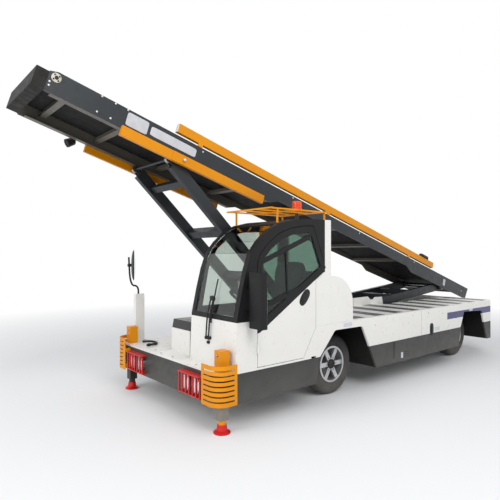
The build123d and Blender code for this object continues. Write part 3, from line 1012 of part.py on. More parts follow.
# Yellow hand rails: lying along the top edges, and folded down beside the front
RAIL_SIDE = 50
UPPER_RAIL_U = (437, 5833)
UPPER_RAIL_GAP = 35
UPPER_RAIL_DEPTH = 95
LOWER_RAILS = [(4542, 5839, 45), (5839, 6418, 38)]
LOWER_RAIL_W = (-98, 2)
BRACKETS_U = (1200, 3300, 5500)
with BuildPart() as handrails:
    for hand in (1, -1):
        out = BOOM_HALF_WIDTH
        boom_block(UPPER_RAIL_U, (BOOM_TOP_W + UPPER_RAIL_GAP, BOOM_TOP_W + UPPER_RAIL_GAP + UPPER_RAIL_DEPTH),
                   sorted((hand * (out - RAIL_SIDE), hand * out)))
        for u in BRACKETS_U:
            boom_block((u, u + 60), (BOOM_TOP_W, BOOM_TOP_W + UPPER_RAIL_GAP), sorted((hand * (out - 12), hand * out)))
        for start, end, width in LOWER_RAILS:
            boom_block((start, end), LOWER_RAIL_W, sorted((hand * out, hand * (out + width))))

PIECES = {
    "chassis_frame": chassis_frame,
    "skirt_band": skirt_band,
    "side_panels": side_panels,
    "front_platform": front_platform,
    "rear_deck": rear_deck,
    "arch_liners": arch_liners,
    "front_axle": front_axle,
    "rear_axle": rear_axle,
    "knuckle_left": knuckle(1),
    "knuckle_right": knuckle(-1),
    "tyre_front_left": tyre(FRONT_AXLE_X, FRONT_WHEEL_FACE_Y, 1),
    "tyre_front_right": tyre(FRONT_AXLE_X, FRONT_WHEEL_FACE_Y, -1),
    "tyre_rear_left": tyre(REAR_AXLE_X, REAR_WHEEL_FACE_Y, 1),
    "tyre_rear_right": tyre(REAR_AXLE_X, REAR_WHEEL_FACE_Y, -1),
    "rim_front_left": rim(FRONT_AXLE_X, FRONT_WHEEL_FACE_Y, 1),
    "rim_front_right": rim(FRONT_AXLE_X, FRONT_WHEEL_FACE_Y, -1),
    "rim_rear_left": rim(REAR_AXLE_X, REAR_WHEEL_FACE_Y, 1),
    "rim_rear_right": rim(REAR_AXLE_X, REAR_WHEEL_FACE_Y, -1),
    "corner_guards": corner_guards,
    "jack_tubes": jack_tubes,
    "jack_leg_left": jack_leg(1),
    "jack_leg_right": jack_leg(-1),
    "lamp_guards": lamp_guards,
    "headlamps": headlamps,
    "cab_shell": cab_shell,
    "cab_frame": cab_frame,
    "cab_glass": cab_glass,
    "door_panel": door_panel,
    "door_frame": door_frame,
    "door_glass": door_glass,
    "rear_cowl": rear_cowl,
    "seat": seat,
    "dashboard": dashboard,
    "side_mirror": side_mirror,
    "roof_rack": roof_rack,
    "beacon": beacon,
    "boom_rest": boom_rest,
    "mirror_post": mirror_post,
    "battery": battery,
    "arm_brackets": arm_brackets,
    "front_arm": front_arm,
    "track_rollers": track_rollers,
    "rear_arm": rear_arm,
    "trunnion": trunnion,
    "front_barrels": front_barrels,
    "front_rods": front_rods,
    "rear_barrels": rear_barrels,
    "rear_rods": rear_rods,
    "boom_frame": boom_frame,
    "belt": belt,
    "end_rollers": end_rollers,
    "nose_bumper": nose_bumper,
    "handrails": handrails,
}
for name, piece in PIECES.items():
    piece.part.label = name
    export_step(piece.part, f"parts/{name}.step")
print("front arm", round(FRONT_ARM_LENGTH, 2), "at", round(FRONT_ARM_ANGLE, 3), "tip", round(tip_x, 1), round(tip_z, 1))
print("rear arm", round(REAR_ARM_LENGTH, 2), "at", round(REAR_ARM_ANGLE, 3))
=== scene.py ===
import math

import bpy
import numpy as np
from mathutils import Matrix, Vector


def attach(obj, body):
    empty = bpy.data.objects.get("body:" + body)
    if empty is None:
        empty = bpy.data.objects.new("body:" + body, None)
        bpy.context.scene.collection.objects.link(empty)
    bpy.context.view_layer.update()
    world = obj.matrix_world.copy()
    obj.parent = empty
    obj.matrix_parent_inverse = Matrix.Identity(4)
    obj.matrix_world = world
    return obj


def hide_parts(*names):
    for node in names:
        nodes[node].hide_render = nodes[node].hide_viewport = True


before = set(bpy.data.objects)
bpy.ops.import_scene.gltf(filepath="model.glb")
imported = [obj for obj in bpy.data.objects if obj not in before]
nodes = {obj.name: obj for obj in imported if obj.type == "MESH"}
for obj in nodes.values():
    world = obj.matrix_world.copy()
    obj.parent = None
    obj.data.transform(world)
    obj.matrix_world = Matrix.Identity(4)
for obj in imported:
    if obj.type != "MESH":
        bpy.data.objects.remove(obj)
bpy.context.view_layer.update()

# Camera: low, level and close to the front left corner, as in the photograph.
# Its place and direction are those of the perspective solve that gave the sizes.
CAMERA_PLACE = (5.029, 4.383, 1.647)
CAMERA_LOOKS = (-0.64069715, -0.76774103, 0.00899258)
camera_data = bpy.data.cameras.new("camera")
camera_data.lens = 33.3
camera_data.sensor_width = 36
camera_data.clip_start = 0.05
camera_data.clip_end = 400
camera = bpy.data.objects.new("camera", camera_data)
camera.location = CAMERA_PLACE
camera.rotation_mode = "QUATERNION"
camera.rotation_quaternion = Vector(CAMERA_LOOKS).to_track_quat("-Z", "Y")
bpy.context.scene.collection.objects.link(camera)
bpy.context.scene.camera = camera
bpy.context.scene.view_settings.view_transform = "Standard"


# Studio: a wide pale floor that keeps a soft shadow under the vehicle and fades to plain white further off.
# The sky gives an even light, and two large soft lamps stand to the left and in front.
def mesh_piece(name, points, faces, smooth=False):
    """A mesh from an array of points and a list of faces, in the vehicle's own frame."""
    mesh = bpy.data.meshes.new(name)
    mesh.from_pydata(np.asarray(points, float).tolist(), [], [list(face) for face in faces])
    mesh.validate()
    mesh.update()
    if smooth:
        mesh.shade_smooth()
    obj = bpy.data.objects.new(name, mesh)
    bpy.context.scene.collection.objects.link(obj)
    return obj


def link_math(tree, operation, first, second):
    """One arithmetic step between a socket and another socket or number."""
    step = tree.nodes.new("ShaderNodeMath")
    step.operation = operation
    tree.links.new(first, step.inputs[0])
    if isinstance(second, (int, float)):
        step.inputs[1].default_value = second
    else:
        tree.links.new(second, step.inputs[1])
    return step.outputs[0]


def ranged(tree, value, start, end, low=0.0, high=1.0):
    """A value carried from the range start to end over to the range low to high, and held at its ends."""
    step = tree.nodes.new("ShaderNodeMapRange")
    for socket, number in (("From Min", start), ("From Max", end), ("To Min", low), ("To Max", high)):
        step.inputs[socket].default_value = number
    tree.links.new(value, step.inputs["Value"])
    return step.outputs["Result"]


def background_rays(tree):
    """1 for the rays that show the background: straight from the camera, mirrored, or through glass."""
    rays = tree.nodes.new("ShaderNodeLightPath")
    seen = link_math(tree, "MAXIMUM", rays.outputs["Is Camera Ray"], rays.outputs["Is Glossy Ray"])
    return link_math(tree, "MAXIMUM", seen, rays.outputs["Is Transmission Ray"])


FLOOR_HALF = 60
FLOOR_GREY = 0.86
FADE_START, FADE_END = 4.5, 10.0  # distances from the vehicle's middle between which the floor turns white
floor_corners = [(x * FLOOR_HALF, y * FLOOR_HALF, 0) for x, y in ((-1, -1), (1, -1), (1, 1), (-1, 1))]
floor = mesh_piece("studio_floor", floor_corners, [(0, 1, 2, 3)])
floor_finish = bpy.data.materials.new("studio_floor")
floor_finish.use_nodes = True
tree = floor_finish.node_tree
shader = tree.nodes["Principled BSDF"]
shader.inputs["Base Color"].default_value = (FLOOR_GREY, FLOOR_GREY, FLOOR_GREY, 1)
shader.inputs["Roughness"].default_value = 0.8
spot_on_floor = tree.nodes.new("ShaderNodeTexCoord")
reach = tree.nodes.new("ShaderNodeVectorMath")
reach.operation = "LENGTH"
tree.links.new(spot_on_floor.outputs["Object"], reach.inputs[0])
fade = ranged(tree, reach.outputs["Value"], FADE_START, FADE_END)
glow = tree.nodes.new("ShaderNodeEmission")
blend = tree.nodes.new("ShaderNodeMixShader")
tree.links.new(link_math(tree, "MULTIPLY", fade, background_rays(tree)), blend.inputs[0])
tree.links.new(shader.outputs[0], blend.inputs[1])
tree.links.new(glow.outputs[0], blend.inputs[2])
tree.links.new(blend.outputs[0], tree.nodes["Material Output"].inputs["Surface"])
floor.data.materials.append(floor_finish)

SKY_LIGHT = ((0.93, 0.96, 1.0, 1), 0.62)
SKY_SEEN = ((1, 1, 1, 1), 1.0)
world = bpy.data.worlds.new("studio")
world.use_nodes = True
bpy.context.scene.world = world
tree = world.node_tree
tree.nodes.clear()
mix = tree.nodes.new("ShaderNodeMixShader")
tree.links.new(background_rays(tree), mix.inputs[0])
for socket, (colour, strength) in ((1, SKY_LIGHT), (2, SKY_SEEN)):
    sky = tree.nodes.new("ShaderNodeBackground")
    sky.inputs["Color"].default_value = colour
    sky.inputs["Strength"].default_value = strength
    tree.links.new(sky.outputs[0], mix.inputs[socket])
out = tree.nodes.new("ShaderNodeOutputWorld")
tree.links.new(mix.outputs[0], out.inputs["Surface"])

# Each lamp: name, place, what it points at, side of its square, power
STUDIO_LAMPS = [("key_lamp", (3.5, 9.0, 8.5), (0, 0, 1), 7.0, 620.0),
                ("front_lamp", (11.0, 1.0, 6.0), (1, 0, 1), 6.0, 420.0)]
for lamp_name, place, aim, size, power in STUDIO_LAMPS:
    lamp_data = bpy.data.lights.new(lamp_name, "AREA")
    lamp_data.shape = "SQUARE"
    lamp_data.size = size
    lamp_data.energy = power
    lamp = bpy.data.objects.new(lamp_name, lamp_data)
    lamp.location = place
    lamp.rotation_mode = "QUATERNION"
    lamp.rotation_quaternion = (Vector(aim) - Vector(place)).to_track_quat("-Z", "Y")
    bpy.context.scene.collection.objects.link(lamp)


# Chassis, axles and liners: welded steel under black paint, sprayed, dulled by road dust near the ground.
# The frame rails, the beams and the knuckles are one finish, and the wheel houses a rougher black.
def inside(tree, axes, low, high):
    """1 between the low and high corner of a box, else 0: the product of steps along the axes with limits."""
    mask = None
    for axis, start, end in zip("XYZ", low, high):
        for limit, operation in ((start, "GREATER_THAN"), (end, "LESS_THAN")):
            if limit is not None:
                step = link_math(tree, operation, axes.outputs[axis], limit)
                mask = step if mask is None else link_math(tree, "MULTIPLY", mask, step)
    return mask


def mixed(tree, factor, first, second):
    """The colour first, turning to second by a factor; each is a socket or a plain colour."""
    blend = tree.nodes.new("ShaderNodeMix")
    blend.data_type = "RGBA"
    tree.links.new(factor, blend.inputs["Factor"])
    for socket, colour in (("A", first), ("B", second)):
        if isinstance(colour, tuple):
            blend.inputs[socket].default_value = (*colour, 1)
        else:
            tree.links.new(colour, blend.inputs[socket])
    return blend.outputs["Result"]


def noise(tree, local, scale, detail, roughness=0.5):
    """A cloud of noise over a set of coordinates, from 0 to 1."""
    cloud = tree.nodes.new("ShaderNodeTexNoise")
    cloud.inputs["Scale"].default_value = scale
    cloud.inputs["Detail"].default_value = detail
    cloud.inputs["Roughness"].default_value = roughness
    tree.links.new(local, cloud.inputs["Vector"])
    return cloud.outputs["Fac"]


def turned_coordinates(tree, local, angle, origin):
    """Coordinates turned by an angle about the Y axis and counted from an origin."""
    shift = tree.nodes.new("ShaderNodeMapping")
    shift.inputs["Rotation"].default_value = (0, angle, 0)
    shift.inputs["Location"].default_value = (-(origin[0] * math.cos(angle) + origin[2] * math.sin(angle)),
                                              -origin[1],
                                              origin[0] * math.sin(angle) - origin[2] * math.cos(angle))
    tree.links.new(local, shift.inputs["Vector"])
    return shift.outputs["Vector"]


EDGE_RADIUS = 0.004
EDGE_START, EDGE_BARE = 0.98, 0.86  # cosines of the turn over an edge
CHIP_SCALE, CHIP_LIMIT = 45, 0.54


def bared_edges(tree, local):
    """1 where the rounded normal leaves the flat one, along the edges, broken up by chips of noise."""
    edge = tree.nodes.new("ShaderNodeBevel")
    edge.samples = 4
    edge.inputs["Radius"].default_value = EDGE_RADIUS
    flat = tree.nodes.new("ShaderNodeNewGeometry")
    facing = tree.nodes.new("ShaderNodeVectorMath")
    facing.operation = "DOT_PRODUCT"
    tree.links.new(edge.outputs[0], facing.inputs[0])
    tree.links.new(flat.outputs["Normal"], facing.inputs[1])
    bared = ranged(tree, facing.outputs["Value"], EDGE_START, EDGE_BARE)
    broken = link_math(tree, "GREATER_THAN", noise(tree, local, CHIP_SCALE, 3), CHIP_LIMIT)
    return link_math(tree, "MULTIPLY", bared, broken)


ROAD_DUST = (0.42, 0.39, 0.35)
PEEL_DEPTH = 0.002


def coat(name, light, dark, rough=(0.25, 0.4), patch=2.0, peel=0.02, peel_scale=500.0, dust=0.0,
         dust_top=0.5, metallic=0.0, zones=(), specular=0.5, wear=None, turn=None, ribs=None):
    """A sprayed or moulded finish. The colour wanders between light and dark in cloudy patches, and the
    roughness between two values in finer ones. A tiny bump gives the peel, and dust fades out with height.
    Each zone is a box with its own colour. Wear bares a colour where the surface turns over an edge, broken
    up by noise. Turn is a frame's angle about Y and its origin, and ribs are a pitch and a depth along it."""
    finish = bpy.data.materials.new(name)
    finish.use_nodes = True
    tree = finish.node_tree
    shader = tree.nodes["Principled BSDF"]
    shader.inputs["Metallic"].default_value = metallic
    shader.inputs["Specular IOR Level"].default_value = specular
    where = tree.nodes.new("ShaderNodeTexCoord")
    local = where.outputs["Object"]
    if turn:
        local = turned_coordinates(tree, local, *turn)
    cloud = noise(tree, local, patch, 5, 0.6)
    ramp = tree.nodes.new("ShaderNodeValToRGB")
    for stop, position, tone in zip(ramp.color_ramp.elements, (0.3, 0.7), (dark, light)):
        stop.position = position
        stop.color = (*tone, 1)
    tree.links.new(cloud, ramp.inputs["Fac"])
    colour = ramp.outputs["Color"]
    axes = tree.nodes.new("ShaderNodeSeparateXYZ")
    tree.links.new(local, axes.inputs[0])
    for tint, low, high in zones:
        colour = mixed(tree, inside(tree, axes, low, high), colour, tint)
    if wear:
        colour = mixed(tree, bared_edges(tree, local), colour, wear)
    if dust:
        ground = tree.nodes.new("ShaderNodeSeparateXYZ")
        tree.links.new(where.outputs["Object"], ground.inputs[0])
        height = ranged(tree, ground.outputs["Z"], 0.0, dust_top, dust, 0.0)
        colour = mixed(tree, link_math(tree, "MULTIPLY", height, cloud), colour, ROAD_DUST)
    tree.links.new(colour, shader.inputs["Base Color"])
    gloss = ranged(tree, noise(tree, local, patch * 7, 4), 0.3, 0.7, *rough)
    tree.links.new(gloss, shader.inputs["Roughness"])
    relief = noise(tree, local, peel_scale, 2)
    if ribs:
        pitch, depth = ribs
        phase = link_math(tree, "MULTIPLY", axes.outputs["X"], 2 * math.pi / pitch)
        wave = link_math(tree, "SINE", phase, 0.0)
        relief = link_math(tree, "ADD", relief, link_math(tree, "MULTIPLY", wave, depth))
    bump = tree.nodes.new("ShaderNodeBump")
    bump.inputs["Strength"].default_value = peel
    bump.inputs["Distance"].default_value = PEEL_DEPTH
    tree.links.new(relief, bump.inputs["Height"])
    tree.links.new(bump.outputs[0], shader.inputs["Normal"])
    return finish


def dress(finish, *names):
    """Gives a finish to CAD nodes by name."""
    for name in names:
        mesh = nodes[name].data
        mesh.materials.clear()
        mesh.materials.append(finish)


black = coat("black_paint", (0.012, 0.012, 0.013), (0.006, 0.006, 0.006), rough=(0.3, 0.5), specular=0.25,
             dust=0.25, dust_top=0.6)
dress(black, "chassis_frame", "front_axle", "rear_axle", "knuckle_left", "knuckle_right", "battery",
      "front_barrels", "rear_barrels")
liner = coat("liner_black", (0.007, 0.007, 0.007), (0.004, 0.004, 0.004), rough=(0.6, 0.85), specular=0.15,
             dust=0.12, dust_top=0.7)
dress(liner, "arch_liners")


# Wheels: radial tyres of black rubber with a grooved, siped tread, seated on the beads of the alloy rims.
# A black cap closes each hub, and six steel nuts hold the rim.
def grid_faces(rows, steps, loop=False):
    """The four-sided faces of a grid whose rows close on themselves; a loop joins the last row to the first."""
    i, j = np.meshgrid(np.arange(rows if loop else rows - 1), np.arange(steps), indexing="ij")
    below, above, right = i * steps, (i + 1) % rows * steps, (j + 1) % steps
    return np.stack([below + j, below + right, above + right, above + j], -1).reshape(-1, 4)


def closed_grid(grid, low, high):
    """A grid of rows, whose first and last rows are closed by a fan each round the points low and high."""
    rows, steps = grid.shape[:2]
    k = np.arange(steps)
    following, last, centre = (k + 1) % steps, (rows - 1) * steps, rows * steps
    fans = np.vstack([np.stack([np.full(steps, centre), following, k], -1),
                      np.stack([np.full(steps, centre + 1), last + k, last + following], -1)])
    points = np.vstack([grid.reshape(-1, 3), [low, high]])
    return points, grid_faces(rows, steps).tolist() + fans.tolist()


def turned(section, centre, axis=(0, 0, 1), steps=32, loop=False):
    """A section of (radius, height) turned about an axis a: p = c + h a + r (cos t u + sin t v), for t from 0
    to a full turn; a loop closes on itself, any other section is capped by a fan at each end."""
    section = np.asarray(section, float)
    a = np.asarray(axis, float) / np.linalg.norm(axis)
    u = np.cross(a, (0, 0, 1) if abs(a[2]) < 0.9 else (1, 0, 0))
    u /= np.linalg.norm(u)
    v = np.cross(a, u)
    t = np.linspace(0, 2 * np.pi, steps, endpoint=False)
    ring = np.cos(t)[:, None] * u + np.sin(t)[:, None] * v
    grid = np.asarray(centre) + section[:, 1, None, None] * a + section[:, 0, None, None] * ring
    if loop:
        return grid.reshape(-1, 3), grid_faces(len(section), steps, loop=True).tolist()
    return closed_grid(grid, centre + section[0, 1] * a, centre + section[-1, 1] * a)


def joined(shapes):
    """Several sets of points and faces as one."""
    points, faces, start = [], [], 0
    for some, some_faces in shapes:
        points.append(some)
        faces += [[index + start for index in face] for face in some_faces]
        start += len(some)
    return np.vstack(points), faces


def add_piece(name, shapes, finish, body, smooth=True):
    """A piece made of shapes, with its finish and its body."""
    piece = mesh_piece(name, *joined(shapes), smooth)
    piece.data.materials.append(finish)
    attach(piece, body)
    return piece


TYRE_WIDTH = 0.215
TYRE_RADIUS = 0.352
TREAD_EDGE = 0.336  # radius at which the tread begins
TREAD_DEPTH = 0.008
TREAD_GROOVES = (-0.056, -0.019, 0.019, 0.056)
GROOVE_HALF = 0.0035
GROOVE_WALL = 1.6  # half widths off a groove's middle at which its wall meets the tread
SIPE_SHARE = 0.7
TREAD_MIDDLE = 0.024  # the sipes of the middle ribs stand between those of the shoulders
TREAD_PITCHES = 54  # blocks round the tyre, each of four steps
SECTION_STEPS = 160
# Section of the tyre: distance in from its outer face, radius
TYRE_SECTION = [(0.026, 0.1983), (0.022, 0.214), (0.006, 0.232), (0.0, 0.27), (0.008, 0.32), (0.035, 0.346),
                (0.06, 0.352), (0.155, 0.352), (0.18, 0.346), (0.207, 0.32), (0.215, 0.27), (0.209, 0.232),
                (0.193, 0.214), (0.189, 0.1983)]
rubber = coat("tyre_rubber", (0.022, 0.022, 0.022), (0.013, 0.013, 0.013), rough=(0.6, 0.85), specular=0.25,
              dust=0.4, dust_top=0.7, peel=0.15, peel_scale=300.0)


def tyre_piece(name, axle_x, face_y, hand, body, node):
    """A tyre: its section, twice cut at the corners and resampled evenly, turned about the axle. The radius
    drops by the tread's depth in each groove, and by a share of it in the sipes, which are at one step in
    four: on the shoulders and, two steps further on, in the middle."""
    section = np.array(TYRE_SECTION)
    for _ in range(2):
        following = np.roll(section, -1, axis=0)
        cut = np.stack([0.75 * section + 0.25 * following, 0.25 * section + 0.75 * following], 1)
        section = cut.reshape(-1, 2)
    closed = np.vstack([section, section[:1]])
    run = np.concatenate([[0], np.cumsum(np.linalg.norm(np.diff(closed, axis=0), axis=1))])
    at = np.linspace(0, run[-1], SECTION_STEPS, endpoint=False)
    inwards = np.interp(at, run, closed[:, 0])
    radius = np.interp(at, run, closed[:, 1])
    off_middle = inwards - TYRE_WIDTH / 2
    steps = 4 * TREAD_PITCHES
    t = np.linspace(0, 2 * np.pi, steps, endpoint=False)
    tread = np.clip((radius - TREAD_EDGE) / TREAD_DEPTH, 0, 1)
    groove = np.zeros_like(radius)
    for middle in TREAD_GROOVES:
        groove = np.maximum(groove, np.clip(GROOVE_WALL - np.abs(off_middle - middle) / GROOVE_HALF, 0, 1))
    quarter = np.arange(steps) % 4
    sipe = (quarter == 0)[None, :] * (np.abs(off_middle) > TREAD_MIDDLE)[:, None]
    stagger = (quarter == 2)[None, :] * (np.abs(off_middle) <= TREAD_MIDDLE)[:, None]
    drop = TREAD_DEPTH * tread[:, None] * np.maximum(groove[:, None], SIPE_SHARE * np.maximum(sipe, stagger))
    r = radius[:, None] - drop
    points = np.stack([axle_x + r * np.cos(t), np.broadcast_to(hand * (face_y - inwards[:, None]), r.shape),
                       TYRE_RADIUS + r * np.sin(t)], -1).reshape(-1, 3)
    faces = grid_faces(SECTION_STEPS, steps, loop=True)[:, [0, 1, 2, 3] if hand > 0 else [1, 0, 3, 2]]
    piece = mesh_piece(name, points, faces.tolist())
    piece.data.materials.append(rubber)
    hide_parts(node)
    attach(piece, body)


alloy = coat("alloy", (0.60, 0.60, 0.61), (0.48, 0.48, 0.49), rough=(0.28, 0.42), metallic=0.75, dust=0.25,
             dust_top=0.5, patch=9)
cap_black = coat("cap_black", (0.014, 0.014, 0.014), (0.009, 0.009, 0.009), rough=(0.35, 0.5), specular=0.3)
nut_steel = coat("nut_steel", (0.5, 0.5, 0.5), (0.36, 0.36, 0.36), rough=(0.25, 0.4), metallic=1.0, patch=40)
dress(alloy, "rim_front_left", "rim_front_right", "rim_rear_left", "rim_rear_right")
RIM_INSET = 0.030  # the spokes' face, in from the tyre's
LUGS = 6
LUG_CIRCLE = 0.079
HUB_CAP = [(0.0565, 0.0), (0.0565, 0.009), (0.053, 0.014), (0.044, 0.016), (0.040, 0.0135), (0.015, 0.0135)]
LUG_NUT = [(0.011, -0.02), (0.011, 0.006), (0.008, 0.010), (0.004, 0.011)]
# Each wheel: side, axle along the vehicle, outer face off the middle, hand, body
WHEELS = [("front_left", 0.785, 0.82, 1, "wheel_fl"), ("front_right", 0.785, 0.82, -1, "wheel_fr"),
          ("rear_left", -2.365, 0.74, 1, "wheel_rl"), ("rear_right", -2.365, 0.74, -1, "wheel_rr")]
for side_name, axle_x, face_y, hand, body in WHEELS:
    tyre_piece(f"tread_{side_name}", axle_x, face_y, hand, body, f"tyre_{side_name}")
    hub_y = hand * (face_y - RIM_INSET)
    add_piece(f"hub_cap_{side_name}", [turned(HUB_CAP, (axle_x, hub_y, TYRE_RADIUS), (0, hand, 0), 48)],
              cap_black, body)
    angles = [math.radians(360 / LUGS * k) for k in range(LUGS)]
    places = [(axle_x + LUG_CIRCLE * math.cos(a), hub_y, TYRE_RADIUS + LUG_CIRCLE * math.sin(a))
              for a in angles]
    add_piece(f"lug_nuts_{side_name}", [turned(LUG_NUT, place, (0, hand, 0), 6) for place in places],
              nut_steel, body, smooth=False)

# Lower band and side panels: sheet steel, the band in dark grey with a slot and three louvres painted on as
# near-black shade, the panels in warm white with a seam and a plain dark stripe behind. Blank labels are stuck
# on, latches and screws let in.
# Painted shade: the slot and the three louvres are near-black patches in the band's colour, standing for the
# shade inside them.
PAINTED_HOLE_SHADE = (0.003, 0.003, 0.003)
BAND_SLOT = (PAINTED_HOLE_SHADE, (-0.1825, None, 0.32), (-0.1375, None, 0.535))
LOUVRE_HEIGHT = 0.012
LOUVRES = [(PAINTED_HOLE_SHADE, (-0.515, None, z), (-0.375, None, z + LOUVRE_HEIGHT)) for z in (0.312, 0.340, 0.368)]
band = coat("dark_grey_paint", (0.046, 0.047, 0.044), (0.034, 0.035, 0.033), rough=(0.35, 0.55),
            specular=0.35, dust=0.35, dust_top=0.55, zones=[BAND_SLOT, *LOUVRES])
dress(band, "skirt_band")
WHITE = ((0.80, 0.785, 0.745), (0.755, 0.74, 0.70))
STRIPE = ((0.036, 0.036, 0.145), (-3.005, None, 0.69), (-1.53, None, 0.79))
SEAM = ((0.09, 0.09, 0.085), (-0.820, None, None), (-0.816, None, 0.872))
panel_white = coat("panel_white", *WHITE, dust=0.30, dust_top=0.95, zones=[STRIPE, SEAM])
dress(panel_white, "side_panels")


def plate(centre, right, up, size, thick, power=10.0, bevel=0.15, steps=48):
    """A plate standing on a surface. Its outline is a superellipse, x = a sign(cos t) |cos t|^(2/n) and
    likewise for y, with n the power. It is carried up the plate's normal and drawn in over the bevel, a share
    of the smaller size, then closed by a fan at each end."""
    centre = np.asarray(centre)
    right = np.asarray(right, float) / np.linalg.norm(right)
    up = np.asarray(up, float) / np.linalg.norm(up)
    normal = np.cross(right, up)
    t = np.linspace(0, 2 * np.pi, steps, endpoint=False)
    x = size[0] / 2 * np.sign(np.cos(t)) * np.abs(np.cos(t)) ** (2 / power)
    y = size[1] / 2 * np.sign(np.sin(t)) * np.abs(np.sin(t)) ** (2 / power)
    step = bevel * min(size)
    rings = [(0.0, 0.0), (0.0, thick * 0.6), (step / 3, thick * 0.9), (step, thick)]
    grid = [centre + np.outer(x * (1 - 2 * inset / size[0]), right)
            + np.outer(y * (1 - 2 * inset / size[1]), up) + height * normal for inset, height in rings]
    return closed_grid(np.stack(grid), centre, centre + thick * normal)


label_foil = coat("label_foil", (0.62, 0.64, 0.70), (0.52, 0.54, 0.60), rough=(0.3, 0.5), patch=25, peel=0.05)
SIDE_FACE = 1.03  # the panels' and the band's outer faces, off the middle
LABEL_THICK = 0.0015
# Labels on the sides: place along the vehicle, height, width, height of the plate
LABELS = [(0.772, 0.84, 0.15, 0.045), (-1.241, 0.591, 0.13, 0.05), (-0.339, 0.338, 0.045, 0.075),
          (-2.281, 0.78, 0.11, 0.035)]
SCREWS = [(0.245, 0.782), (-1.392, 0.788), (-0.60, 0.83), (-1.0, 0.83)]
SCREW_HEAD = [(0.008, -0.002), (0.008, 0.0015), (0.0055, 0.004), (0.002, 0.0045)]
LATCH_X, LATCH_Z = -1.085, 0.595
# Dish and flap of a latch: how proud of the panel, size, thickness, power, bevel
LATCH_PARTS = [(0.0, (0.095, 0.17), 0.006, 3.5, 0.15), (0.005, (0.05, 0.11), 0.008, 3.0, 0.3)]
labels, screws, latches = [], [], []
for hand in (1, -1):
    face_y = hand * SIDE_FACE
    flat = (-hand, 0, 0), (0, 0, 1)
    labels += [plate((x, face_y, z), *flat, (width, height), LABEL_THICK) for x, z, width, height in LABELS]
    screws += [turned(SCREW_HEAD, (x, face_y, z), (0, hand, 0), 16) for x, z in SCREWS]
    latches += [plate((LATCH_X, face_y + hand * proud, LATCH_Z), *flat, *form) for proud, *form in LATCH_PARTS]
add_piece("blank_labels", labels, label_foil, "body", smooth=False)
add_piece("panel_screws", screws, nut_steel, "body")
add_piece("panel_latches", latches, cap_black, "body")
REAR_FACE, STOP_Y, STOP_HEIGHT = -3.03, 0.80, 0.376
REAR_STOP = [(0.02, -0.002), (0.02, 0.012), (0.017, 0.03), (0.012, 0.036), (0.004, 0.038)]
stop_places = [(REAR_FACE, hand * STOP_Y, STOP_HEIGHT) for hand in (1, -1)]
add_piece("rear_stops", [turned(REAR_STOP, place, (-1, 0, 0), 24) for place in stop_places], cap_black,
          "body")

# Platform and deck: white sheet steel, folded at the edges and screwed down. The recessed strips of the deck
# are bare to the grey primer, and a black steel hook for towing lies on the platform.
STRIPS = ((0.085, 0.09, 0.092), (None, None, 0.8765), (None, None, 0.8797))
deck_white = coat("deck_white", *WHITE, rough=(0.3, 0.5), zones=[STRIPS])
dress(deck_white, "rear_deck")
plain_white = coat("plain_white", *WHITE, dust=0.2, dust_top=0.9)
dress(plain_white, "front_platform", "arm_brackets")


def pipe(path, radius, sides=12, aside=(0, 0, 1), rounds=2):
    """A round bar along a path whose corners are cut by rounds of p -> 3p/4 + q/4, p/4 + 3q/4; each ring is
    p + r (cos t n + sin t b), with n across both the path and a direction aside, and b across n."""
    path = np.asarray(path, float)
    for _ in range(rounds):
        cut = np.stack([0.75 * path[:-1] + 0.25 * path[1:], 0.25 * path[:-1] + 0.75 * path[1:]], 1)
        path = np.vstack([path[:1], cut.reshape(-1, 3), path[-1:]])
    along = np.gradient(path, axis=0)
    along /= np.linalg.norm(along, axis=1)[:, None]
    n = np.cross(along, np.asarray(aside, float))
    n /= np.linalg.norm(n, axis=1)[:, None]
    b = np.cross(along, n)
    t = np.linspace(0, 2 * np.pi, sides, endpoint=False)
    ring = np.cos(t)[None, :, None] * n[:, None] + np.sin(t)[None, :, None] * b[:, None]
    return closed_grid(path[:, None] + radius * ring, path[0], path[-1])


HOOK_PATH = [(2.405, -0.812, 0.578), (2.345, -0.80, 0.578), (2.295, -0.74, 0.578), (2.30, -0.64, 0.578),
             (2.34, -0.585, 0.578), (2.47, -0.575, 0.578)]
HOOK_PIVOT = [(0.018, 0.0), (0.018, 0.03), (0.013, 0.034)]
HOOK_RADIUS = 0.013
PIVOT_PLACE = (2.44, -0.577, 0.56)
add_piece("tow_hook", [pipe(HOOK_PATH, HOOK_RADIUS, 16), turned(HOOK_PIVOT, PIVOT_PLACE, (0, 0, 1), 24)],
          cap_black, "body")
PLATFORM_BOLTS = [(2.20, -0.33, 0.563), (2.20, -0.81, 0.563), (2.49, -0.33, 0.563), (2.52, 0.55, 0.56),
                  (2.52, 0.10, 0.56), (2.52, -0.15, 0.56)]
BOLT_HEAD = [(0.010, 0.0), (0.010, 0.004), (0.0075, 0.006), (0.003, 0.0065)]
add_piece("platform_bolts", [turned(BOLT_HEAD, place, (0, 0, 1), 12) for place in PLATFORM_BOLTS],
          nut_steel, "body")

# Corner guards, jack tubes and their legs: folded and slotted plate in signal yellow, steel legs on red feet.
# A steel locking pin stands in the front of each jack tube, and two bolts hold each guard's side.
yellow = coat("yellow_paint", (0.76, 0.285, 0.001), (0.68, 0.24, 0.001), rough=(0.3, 0.45), specular=0.25,
              wear=(0.32, 0.13, 0.02))
dress(yellow, "corner_guards", "jack_tubes", "roof_rack", "handrails")
FOOT_RED = (0.60, 0.012, 0.010)
LEG_STEEL = ((0.30, 0.27, 0.23), (0.20, 0.18, 0.15))
LEG_DARK = ((0.05, 0.045, 0.04), (0.03, 0.027, 0.024))
LEFT_FOOT = (FOOT_RED, (None, None, None), (None, None, 0.080))
LEFT_COLLAR = ((0.80, 0.27, 0.002), (None, None, 0.080), (None, None, 0.1205))
RIGHT_FOOT = (FOOT_RED, (None, None, None), (None, None, 0.0801))
left_leg = coat("jack_leg_left", *LEG_STEEL, rough=(0.3, 0.5), metallic=0.3, patch=12,
                zones=[LEFT_FOOT, LEFT_COLLAR])
